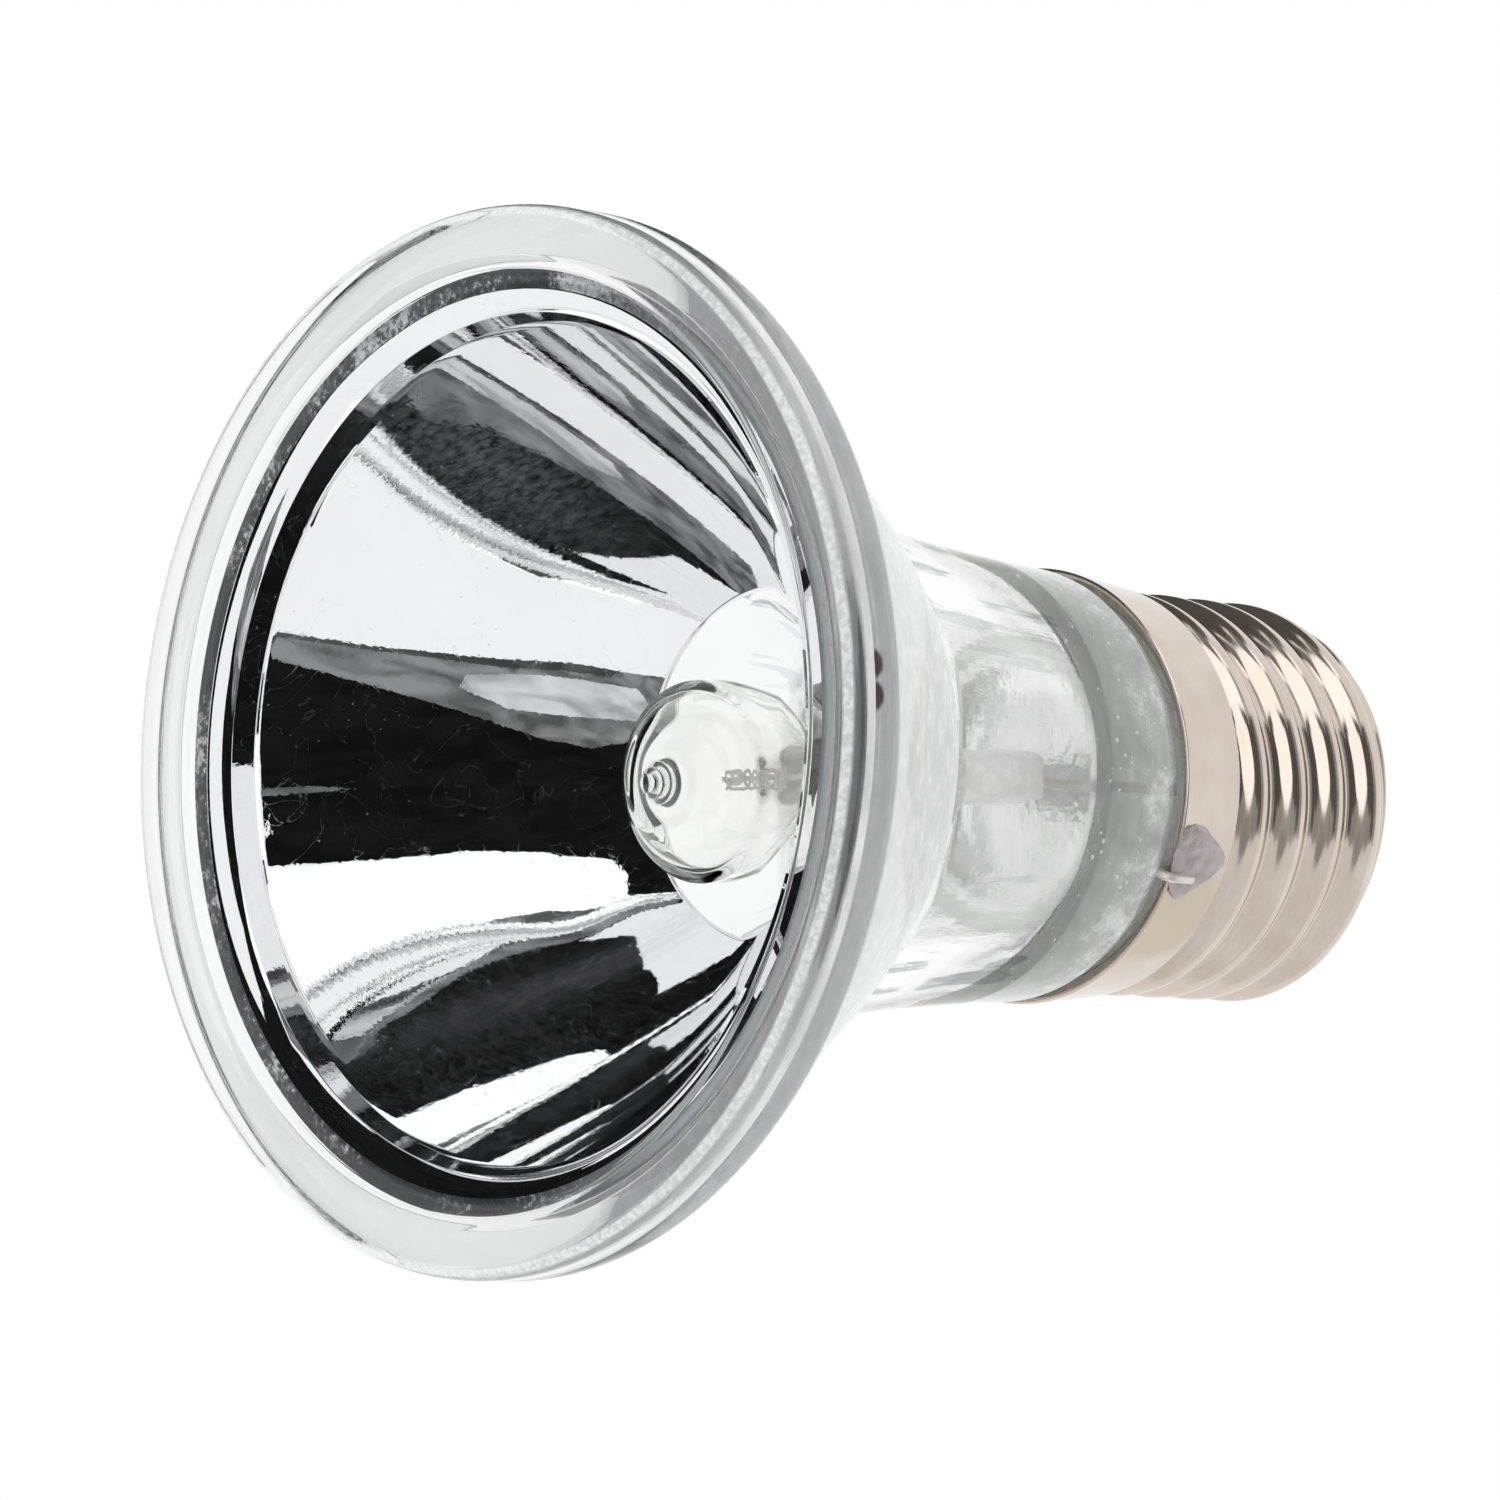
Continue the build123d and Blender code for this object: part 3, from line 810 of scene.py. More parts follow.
# Pressed rim: smooth and clear, with a painted highlight: a white line along its rounded edge
LENS_GLASS = HighlitEdgeGlass(
    "borosilicate_glass_pressed_lens", "#ffffff", 0.0, wave_mm=9.0, wave_depth_mm=0.01, skin_depth_mm=0.0
)
# Polished window: nearly unseen from the front
LENS_PANE = ClearPane("borosilicate_glass_polished_window", "#fdfefe", 0.0)
# Flame-worked quartz: its dome and pinch ripple and curl what is seen through them
CAPSULE_QUARTZ = PressedGlass("quartz_glass_flame_worked", "#fffffd", 0.0, wave_mm=4.0, wave_depth_mm=0.2)
# Pinched hot between jaws: frosty white, with clearer patches
PINCH_QUARTZ = CloudedGlass(
    "quartz_glass_pinched_frosty",
    "#fffffd",
    0.0,
    wave_mm=2.5,
    wave_depth_mm=0.1,
    chalk="#ffffff",
    clear_share=0.6,
    cloud_share=0.95,
    fade_mm=(30.0, 34.0),
)
# Fused by a flame: a thin grey line between the two glasses
SEAL_GLASS = PressedGlass("seal_glass_flame_fused", "#f2f4f4", 0.02, wave_mm=2.0, wave_depth_mm=0.03)
# The bowl's outside: satin from the mould, so the coating behind it looks soft and white
BOWL_SKIN = CloudedGlass(
    "borosilicate_glass_satin_bowl",
    "#ffffff",
    0.3,
    wave_mm=3.0,
    wave_depth_mm=0.01,
    skin_mm=0.3,
    skin_depth_mm=0.006,
    chalk="#fafbfb",
    cloud_mm=0.9,
    clear_share=0.45,
    cloud_share=0.8,
    fade_mm=(-2.0, -1.0),
)
# Glass beside the cap: cement dust and heat leave white clouds on it
BASE_SKIN = CloudedGlass("borosilicate_glass_dusty_base", "#ffffff", 0.02, wave_mm=3.0, wave_depth_mm=0.05)
# Vacuum-laid aluminium: a hard bright mirror from inside, a matt white from behind, speckled at its edge
MIRROR_FRONT = LaidAluminium("aluminium_vacuum_laid_front", "#f5f5f6", 0.01)
MIRROR_BACK = GrainyMetal(
    "aluminium_vacuum_laid_back",
    "#f8f8f9",
    0.55,
    second="#eeeff0",
    grain_mm=0.35,
    grain_depth_mm=0.03,
    metallic=0.15,
)
MIRROR_EDGE = StippledEdge("aluminium_thinned_edge", "#54575a", 0.35)
# Rolled nickel plate: a warm shine, a little soft between the crests
CAP_NICKEL = RolledNickel("nickel_plate_rolled", "#d6cabf", 0.10)
# Frozen tin solder: grey and lumpy, with a broken shine
SOLDER = GrainyMetal(
    "tin_solder_frozen",
    "#c0b8b8",
    0.42,
    second="#a39b9c",
    grain_mm=0.9,
    grain_depth_mm=0.16,
    patch_mm=1.6,
    metallic=0.7,
)
# Drawn wires and rolled foil: pale and soft, so they hardly show through the capsule
LEAD_WIRE = GrainyMetal("nickel_wire_drawn", "#e4e1dc", 0.35, second="#cfcac3", grain_mm=0.2, metallic=0.7)
TUNGSTEN = GrainyMetal("tungsten_wire_coiled", "#fbfaf7", 0.6, second="#f1efeb", grain_mm=0.15, metallic=0.2)
FOIL = GrainyMetal("molybdenum_foil_rolled", "#f4f3f1", 0.4, second="#e6e4e1", grain_mm=0.3, metallic=0.3)
# Baked basing cement: chalky and dull
CEMENT = CastSolid(
    "basing_cement_baked", "#cdc8be", 0.85, second="#b7b1a5", grain_mm=0.6, grain_depth_mm=0.05
)
# Moulded black glass: deep and shiny
BLACK_GLASS = CastSolid(
    "black_insulating_glass_moulded", "#141416", 0.18, second="#232327", grain_mm=1.5, coat=0.4
)
# Stamped brass: a yellow shine with fine pits
CONTACT = GrainyMetal("brass_contact_stamped", "#cdb07a", 0.24, second="#b5945c", grain_depth_mm=0.01)
# Matt paint: a plain pale ground
FLOOR = PaleFloor("pale_studio_floor", "#f4f4f3")


def arc(centre: Point, radius: float, start: float, end: float, count: int) -> list[Point]:
    """Points along an arc in the plane of radius and height.

    Args:
        centre: Centre as radius and height in millimetres.
        radius: Radius of the arc.
        start: First angle in degrees.
        end: Last angle in degrees.
        count: Number of steps.

    Returns:
        The points from start to end.
    """
    angles = [math.radians(start + (end - start) * i / count) for i in range(count + 1)]
    return [(centre[0] + radius * math.cos(a), centre[1] + radius * math.sin(a)) for a in angles]


def smooth(share: float) -> float:
    """A share from 0 to 1 that starts and ends gently."""
    return 3 * share * share - 2 * share**3


def eased(first: Point, last: Point, count: int, lying: bool = False) -> list[Point]:
    """Points on an S-shaped run whose ends stand upright, or lie flat.

    Args:
        first: First point as radius and height.
        last: Last point.
        count: Number of steps.
        lying: Whether the ends lie flat.

    Returns:
        The points from first to last.
    """
    points = []
    for share in (i / count for i in range(count + 1)):
        out, up = (share, smooth(share)) if lying else (smooth(share), share)
        points.append((first[0] + (last[0] - first[0]) * out, first[1] + (last[1] - first[1]) * up))
    return points


def divided(first: Point, last: Point, count: int) -> list[Point]:
    """Points that divide a straight run evenly.

    Args:
        first: First point as radius and height.
        last: Last point.
        count: Number of steps.

    Returns:
        The points from first to last.
    """
    out, up = last[0] - first[0], last[1] - first[1]
    return [(first[0] + out * i / count, first[1] + up * i / count) for i in range(count + 1)]


def joined(*runs: Iterable[Point]) -> list[Point]:
    """Runs of points as one outline, each shared end kept once.

    Args:
        runs: Runs of points in order.

    Returns:
        The outline's points.
    """
    points: list[Point] = []
    for run in runs:
        for point in run:
            if not points or math.dist(points[-1], point) > 1e-5:
                points.append(point)
    return points


def spun(outline: Sequence[Point], turn: Turn, closed: bool) -> Mesh:
    """Turns an outline about the lamp's axis.

    Args:
        outline: Points as radius and height in millimetres.
        turn: How finely it is divided.
        closed: Whether the last point joins the first.

    Returns:
        A mesh with merged seams and poles and outward normals.
    """
    mesh = bmesh.new()
    verts = [mesh.verts.new((r * MM, 0.0, z * MM)) for r, z in outline]
    edges = [mesh.edges.new(pair) for pair in zip(verts, verts[1:])]
    if closed:
        edges.append(mesh.edges.new((verts[-1], verts[0])))
    whole = {"cent": (0, 0, 0), "axis": (0, 0, 1), "angle": math.tau, "steps": turn.value}
    bmesh.ops.spin(mesh, geom=verts + edges, use_merge=True, **whole)
    bmesh.ops.remove_doubles(mesh, verts=mesh.verts, dist=1e-7)
    bmesh.ops.dissolve_degenerate(mesh, edges=mesh.edges, dist=1e-8)
    bmesh.ops.recalc_face_normals(mesh, faces=mesh.faces)
    return mesh


def added_object(name: str, mesh: Mesh, materials: Sequence[Material]) -> bpy.types.Object:
    """Makes an object of a mesh and puts it in the scene.

    Args:
        name: Name of the object and of its mesh.
        mesh: Its mesh, which is freed.
        materials: Its materials.

    Returns:
        The new object.
    """
    data = bpy.data.meshes.new(name)
    mesh.to_mesh(data)
    mesh.free()
    for material in materials:
        data.materials.append(material)
    piece = bpy.data.objects.new(name, data)
    bpy.context.scene.collection.objects.link(piece)
    return piece


def finish_piece(
    name: str,
    mesh: Mesh,
    finishes: Sequence[Finish],
    node: str,
    choose: Optional[Callable[[Face], Finish]] = None,
) -> None:
    """Makes a piece of a mesh, dresses it and lets it ride on the bulb.

    Args:
        name: Name of the piece.
        mesh: Its mesh, which is freed.
        finishes: Its finishes.
        node: CAD node that it replaces.
        choose: Picks the finish of a face.
    """
    for face in mesh.faces:
        face.smooth = True
        if choose is not None:
            face.material_index = finishes.index(choose(face))
    piece = added_object(name, mesh, [finish.make() for finish in finishes])
    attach(piece, "root")
    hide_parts(node)
    log.info("%s: %d faces", name, len(piece.data.polygons))


@dataclass
class Reflector:
    """The pressed glass reflector: flange, parabolic bowl, neck and base, with the aluminium laid in it."""

    rim_radius: float = 32.0
    mating_height: float = 2.35
    flange_back: float = 4.35
    flange_round: float = 0.8
    seam_chamfer: float = 0.25
    land_outer: float = 28.6
    land_inner: float = 27.2
    land_height: float = 3.0
    land_break: float = 0.1
    land_fillet: float = 0.05
    mirror_front: float = 26.2
    mirror_back: float = 11.0
    mirror_front_height: float = 3.8
    focal_length: float = 6.5
    bowl_wall: float = 3.0
    neck_root_mirror_radius: float = 14.0
    neck_end: Point = (13.95, 45.4)
    neck_waist: float = 0.3
    base_radius: float = 12.8
    base_start: float = 48.4
    base_end: float = 52.0
    base_round: float = 0.9
    base_dust: float = 5.4
    seat_slack: float = 0.1
    dust_slack: float = 0.5
    floor_slack: float = 0.01
    bore_slack: float = 0.05
    outward_least: Point = (0.1, 0.05)
    cavity_radius: float = 9.8
    cavity_floor: float = 46.0
    cavity_round: float = 5.0
    milky_start: float = 1.0
    coating_gap: float = 0.04
    coating_thickness: float = 0.12
    coating_edge: float = 0.35
    roll_start: float = 25.5
    roll_depth: float = 0.30
    bubble_count: int = 260
    bubble_radius: float = 0.16
    bubble_least: float = 0.35
    bubble_ring: Point = (0.6, 0.4)
    bubble_zone: Point = (4.5, 0.3)
    bubble_margin: Point = (0.3, 5.0)
    bubble_seed: int = 5

    def bowl_point(self, radius: float, inset: float) -> Point:
        """A point on the parabola, moved square to it.

        Args:
            radius: Radius on the mirror.
            inset: Distance towards the axis.

        Returns:
            Radius and height in millimetres.
        """
        vertex = self.mirror_front_height + self.mirror_front**2 / (4 * self.focal_length)
        slant = math.hypot(radius, 2 * self.focal_length)
        height = vertex - radius**2 / (4 * self.focal_length)
        return (radius - inset * radius / slant, height - inset * 2 * self.focal_length / slant)

    def bowl_run(self, first: float, last: float, inset: float, count: int) -> list[Point]:
        """Points along the parabola between two mirror radii."""
        return [self.bowl_point(first + (last - first) * i / count, inset) for i in range(count + 1)]

    def neck_run(self, count: int) -> list[Point]:
        """The neck's slightly waisted outside.

        Args:
            count: Number of steps.

        Returns:
            Points from the neck's end to the bowl.
        """
        root = self.bowl_point(self.neck_root_mirror_radius, -self.bowl_wall)
        out, up = self.neck_end[0] - root[0], self.neck_end[1] - root[1]
        waist = self.neck_waist
        shares = [i / count for i in range(count, -1, -1)]
        return [(root[0] + out * s - waist * math.sin(math.pi * s), root[1] + up * s) for s in shares]

    def body_outline(self) -> list[Point]:
        """The glass's outline from the axis at the base, round the rim, to the axis in the cavity.

        Returns:
            Points as radius and height.
        """
        rim, seam, land = self.rim_radius, self.mating_height, self.land_outer
        shoulder = self.base_radius - self.base_round
        flange = (rim - self.flange_round, self.flange_back - self.flange_round)
        cavity_end = self.cavity_floor - self.cavity_round
        return joined(
            [(0.0, self.base_end), (shoulder, self.base_end)],
            arc((shoulder, self.base_end - self.base_round), self.base_round, 90, 0, 6),
            eased((self.base_radius, self.base_start), self.neck_end, 12),
            self.neck_run(24),
            self.bowl_run(self.neck_root_mirror_radius, self.mirror_front, -self.bowl_wall, 40),
            arc(flange, self.flange_round, 90, 0, 8),
            [(rim, seam + self.seam_chamfer), (rim - self.seam_chamfer, seam)],
            [(land + self.land_break, seam), (land, seam + self.land_break)],
            [(land, self.land_height - self.land_fillet), (land - self.land_fillet, self.land_height)],
            [(self.land_inner, self.land_height)],
            self.bowl_run(self.mirror_front, self.mirror_back, 0.0, 48),
            divided(self.bowl_point(self.mirror_back, 0.0), (self.cavity_radius, cavity_end), 16),
            arc((self.cavity_radius - self.cavity_round, cavity_end), self.cavity_round, 0, 90, 14),
            [(0.0, self.cavity_floor)],
        )

    def coating_outline(self) -> list[Point]:
        """The coating's outline: its back against the glass and its bright face.

        Returns:
            Points as radius and height.
        """
        near = self.coating_gap
        far = self.coating_gap + self.coating_thickness
        edge = self.land_outer - far
        return joined(
            self.bowl_run(self.mirror_back, self.mirror_front, near, 64),
            [(self.land_inner, self.land_height - near), (edge, self.land_height - near)],
            [(edge, self.land_height - far), (self.land_inner, self.land_height - far)],
            self.rolled_edge(far),
            self.bowl_run(self.roll_start, self.mirror_back, far, 64),
        )

    def rolled_edge(self, inset: float) -> list[Point]:
        """The bright face's front edge, which turns in where the mould was rounded.

        Args:
            inset: Distance of the bright face from the glass.

        Returns:
            Points from the front edge to where the parabola starts.
        """
        shares = [1.0 - i / 16 for i in range(17)]
        zone = self.mirror_front - self.roll_start
        return [self.bowl_point(self.roll_start + zone * s, inset + self.roll_depth * s) for s in shares]

    def add_bubbles(self, body: Mesh) -> None:
        """Sows small seed bubbles in the solid glass round the cavity's end.

        Args:
            body: The glass's mesh.
        """
        dice = random.Random(self.bubble_seed)
        inner, outer = self.cavity_radius + self.bubble_ring[0], self.base_radius - self.bubble_ring[1]
        low, high = self.cavity_floor - self.bubble_zone[0], self.base_start - self.bubble_zone[1]
        for _ in range(self.bubble_count):
            angle = dice.uniform(0.0, math.tau)
            radius = dice.uniform(inner, outer)
            height = dice.uniform(low, high)
            size = self.bubble_radius * dice.uniform(self.bubble_least, 1.0) ** 2
            middle = Vector((radius * math.cos(angle), radius * math.sin(angle), height)) * MM
            place = Matrix.Translation(middle)
            bmesh.ops.create_icosphere(body, subdivisions=1, radius=size * MM, matrix=place)

    def body_side(self, face: Face) -> Finish:
        """Picks the glass's finish by where a face lies.

        Args:
            face: Face of the glass or of a bubble in it.

        Returns:
            Its finish.
        """
        centre = face.calc_center_median()
        radius = math.hypot(centre.x, centre.y) / MM
        height = centre.z / MM
        beside, below = self.bubble_margin
        solid = radius > self.cavity_radius + beside and height > self.cavity_floor - below
        if solid and face.calc_area() < self.bubble_radius**2 * MM**2:
            return BUBBLE
        if height > self.base_start + self.seat_slack:
            return BASE_SEAT
        beyond = radius > self.cavity_radius + self.dust_slack
        if beyond and height > self.neck_end[1] - self.base_dust:
            return BASE_SKIN
        if height > self.cavity_floor + self.floor_slack:
            return BODY_GLASS
        if radius <= self.mirror_back + self.bore_slack:
            milky = height > self.cavity_floor - self.cavity_round + self.milky_start
            return NECK_END if milky else NECK_WALL
        if height > self.bowl_point(self.neck_root_mirror_radius, -self.bowl_wall)[1]:
            return NECK_SKIN
        outward = Vector((centre.x, centre.y, 0.0)).normalized()
        sideways, upwards = self.outward_least
        outside = face.normal.dot(outward) > sideways and face.normal.z > upwards
        return BOWL_SKIN if outside and radius < self.mirror_front + self.bowl_wall else BODY_GLASS

    def coating_side(self, face: Face) -> Finish:
        """Picks the bright face, the satin back or the stippled edge of the coating.

        Args:
            face: Face of the coating.

        Returns:
            Its finish.
        """
        centre = face.calc_center_median()
        outward = Vector((centre.x, centre.y, 0.0)).normalized()
        if face.normal.dot(outward) + face.normal.z > 0:
            return MIRROR_BACK
        at_edge = math.hypot(centre.x, centre.y) / MM > self.land_inner - self.coating_edge
        return MIRROR_EDGE if at_edge else MIRROR_FRONT

    def build(self) -> None:
        """Makes the glass and its coating."""
        body = spun(self.body_outline(), Turn.MEDIUM, False)
        self.add_bubbles(body)
        glasses = [BODY_GLASS, NECK_WALL, BASE_SEAT, NECK_END, NECK_SKIN, BUBBLE, BOWL_SKIN, BASE_SKIN]
        finish_piece("reflector_glass", body, glasses, "reflector_body", self.body_side)
        coating = spun(self.coating_outline(), Turn.FINE, True)
        metals = [MIRROR_FRONT, MIRROR_BACK, MIRROR_EDGE]
        finish_piece("mirror_layer", coating, metals, "mirror_coating", self.coating_side)


@dataclass
class FrontLens:
    """The pressed lens with its raised rim, and the seal behind it."""

    rim_radius: float = 32.0
    thickness: float = 2.2
    edge_round: float = 1.0
    back_chamfer: float = 0.25
    back_land: float = 0.3
    window_radius: float = 28.4
    window_edge: float = 0.3
    window_recess: float = 0.45
    window_flare: float = 0.6
    seal_inner: float = 29.1
    seal_outer: float = 31.5
    seal_back: float = 2.35
    seal_gap: float = 0.015
    seal_round: float = 0.06

    def outline(self) -> list[Point]:
        """The lens's outline from the axis in front, round the rim, to the axis behind.

        Returns:
            Points as radius and height.
        """
        rim, back = self.rim_radius, self.thickness
        flat = self.window_radius - self.window_edge
        flare = (self.window_radius + self.window_flare, 0.0)
        return joined(
            divided((0.0, self.window_recess), (flat, self.window_recess), 12),
            eased((flat, self.window_recess), flare, 8, lying=True),
            arc((rim - self.edge_round, self.edge_round), self.edge_round, 270, 360, 10),
            [(rim, back - self.back_chamfer), (rim - self.back_chamfer, back), (rim - self.back_land, back)],
            divided((flat, back), (0.0, back), 12),
        )

    def lens_side(self, face: Face) -> Finish:
        """Picks the moulded rim or the polished window.

        Args:
            face: Face of the lens.

        Returns:
            Its finish.
        """
        centre = face.calc_center_median()
        flat = self.window_radius - self.window_edge
        return LENS_PANE if math.hypot(centre.x, centre.y) / MM < flat else LENS_GLASS

    def build(self) -> None:
        """Makes the lens and the seal."""
        disc = spun(self.outline(), Turn.MEDIUM, False)
        finish_piece("lens_disc", disc, [LENS_GLASS, LENS_PANE], "front_lens", self.lens_side)
        low, high = self.thickness + self.seal_gap, self.seal_back - self.seal_gap
        middle, half = (low + high) / 2, (high - low) / 2
        ring = joined(
            arc((self.seal_outer - self.seal_round, middle), half, -90, 90, 6),
            arc((self.seal_inner + self.seal_round, middle), half, 90, 270, 6),
        )
        finish_piece("seal_ring", spun(ring, Turn.MEDIUM, True), [SEAL_GLASS], "rim_seal")


@dataclass
class QuartzCapsule:
    """The leaning quartz capsule: exhaust tip, dome, flattening taper and pinch, hollow down to the pinch."""

    lean_deg: float = 4.5
    pivot_height: float = 37.25
    radius: float = 6.25
    wall: float = 0.9
    dome: float = 3.0
    dome_start: float = -17.75
    taper_start: float = -16.25
    taper_power: float = 1.35
    pinch_start: float = -3.75
    pinch_end: float = 3.75
    pinch_half: float = 1.7
    pinch_wall: float = 0.95
    pinch_frost: float = 3.0
    box_start: float = 0.6
    box_power: float = 0.18
    box_middle: float = 0.12
    foot_height: float = 0.5
    foot_round: tuple[Point, ...] = ((0.97, 0.1), (0.9, 0.0), (0.0, 0.0))
    hollow_stop: float = 3.2
    hollow_foot: tuple[Point, ...] = ((0.8, 0.5), (0.0, 0.6))
    tip_length: float = 1.7
    tip_radius: float = 1.5
    tip_ripples: tuple[Point, ...] = (
        ((0.0, 1.0), (0.22, 0.98), (0.38, 0.88), (0.40, 0.78), (0.62, 0.66), (0.66, 0.54))
        + ((0.62, 0.47), (0.84, 0.35), (0.88, 0.25), (0.85, 0.17), (1.05, 0.05))
    )
    curl_turn: float = 1.5
    curl_height: float = 0.26
    curl_margin: float = 0.3

    def dome_run(self, inset: float, angles: Iterable[int]) -> list[Point]:
        """Points along the dome.

        Args:
            inset: Distance inside the capsule's outside.
            angles: Degrees from the axis.

        Returns:
            Points as radius and height on the capsule's own axis.
        """
        radius, rise = self.radius - inset, self.dome - inset
        turns = [math.radians(angle) for angle in angles]
        return [(radius * math.sin(a), self.dome_start - rise * math.cos(a)) for a in turns]

    def outside(self) -> list[Point]:
        """The outline of the round form before it is flattened.

        Returns:
            Points as radius and height on the capsule's own axis.
        """
        tip = self.dome_start - self.dome
        radius, end = self.radius, self.pinch_end
        nipple = [(self.tip_radius * across, tip - self.tip_length * out) for across, out in self.tip_ripples]
        body = divided((radius, self.dome_start), (radius, end - self.foot_height), 40)
        foot = [(radius * across, end - up) for across, up in self.foot_round]
        return joined(nipple, self.dome_run(0.0, range(18, 91, 2)), body, foot)

    def inside(self) -> list[Point]:
        """The outline of the hollow before it is flattened.

        Returns:
            Points as radius and height on the capsule's own axis.
        """
        radius = self.radius - self.wall
        end = self.pinch_start - self.hollow_stop
        body = divided((radius, self.dome_start), (radius, end), 28)
        foot = [(radius * across, end + up) for across, up in self.hollow_foot]
        return joined(self.dome_run(self.wall, range(0, 91, 6)), body, foot)

    def curl(self, mesh: Mesh) -> None:
        """Presses the curl that the flame left into the dome round the tip.

        Args:
            mesh: The round outside on the capsule's own axis.
        """
        inner, outer = self.tip_radius, self.radius - self.curl_margin
        for vert in mesh.verts:
            radius = math.hypot(vert.co.x, vert.co.y) / MM
            if vert.co.z / MM < self.dome_start and inner < radius < outer:
                swing = math.atan2(vert.co.y, vert.co.x) - self.curl_turn * radius
                fade = math.sin(math.pi * (radius - inner) / (outer - inner)) ** 2
                vert.co.z -= self.curl_height * fade * math.sin(swing) * MM

    def flatten(self, mesh: Mesh, full: float, thin: float) -> None:
        """Squeezes the round form to the pinch, and squares the pinch's sides.

        Args:
            mesh: Mesh on the capsule's own axis.
            full: Half thickness of the round part.
            thin: Half thickness at the pinch.
        """
        for vert in mesh.verts:
            share = (vert.co.z / MM - self.taper_start) / (self.pinch_start - self.taper_start)
            share = min(1.0, max(0.0, share))
            half = full + (thin - full) * share**self.taper_power
            vert.co.x *= half / full
            flat = max(0.0, (share - self.box_start) / (1.0 - self.box_start))
            limit = half * MM
            if flat > 0.0 and abs(vert.co.x) > self.box_middle * limit:
                across = max(1e-9, 1.0 - (vert.co.y / (self.radius * MM)) ** 2)
                boxed = math.copysign(limit * across**self.box_power, vert.co.x)
                vert.co.x += (boxed - vert.co.x) * flat

    def capsule_side(self, face: Face) -> Finish:
        """Picks the clear body or the frosty pinch."""
        frost = self.pivot_height + self.pinch_start - self.pinch_frost
        return PINCH_QUARTZ if face.calc_center_median().z / MM > frost else CAPSULE_QUARTZ

    def build(self) -> None:
        """Makes the capsule with its hollow."""
        outer = spun(self.outside(), Turn.COARSE, False)
        self.curl(outer)
        self.flatten(outer, self.radius, self.pinch_half)
        inner = spun(self.inside(), Turn.COARSE, False)
        self.flatten(inner, self.radius - self.wall, self.pinch_half - self.pinch_wall)
        bmesh.ops.reverse_faces(inner, faces=inner.faces)
        hollow = bpy.data.meshes.new("capsule_hollow")
        inner.to_mesh(hollow)
        inner.free()
        outer.from_mesh(hollow)
        bpy.data.meshes.remove(hollow)
        lean = Matrix.Rotation(math.radians(-self.lean_deg), 4, "Y")
        place = Matrix.Translation((0, 0, self.pivot_height * MM)) @ lean
        bmesh.ops.transform(outer, matrix=place, verts=outer.verts)
        quartz = [CAPSULE_QUARTZ, PINCH_QUARTZ]
        finish_piece("capsule_quartz", outer, quartz, "capsule_envelope", self.capsule_side)


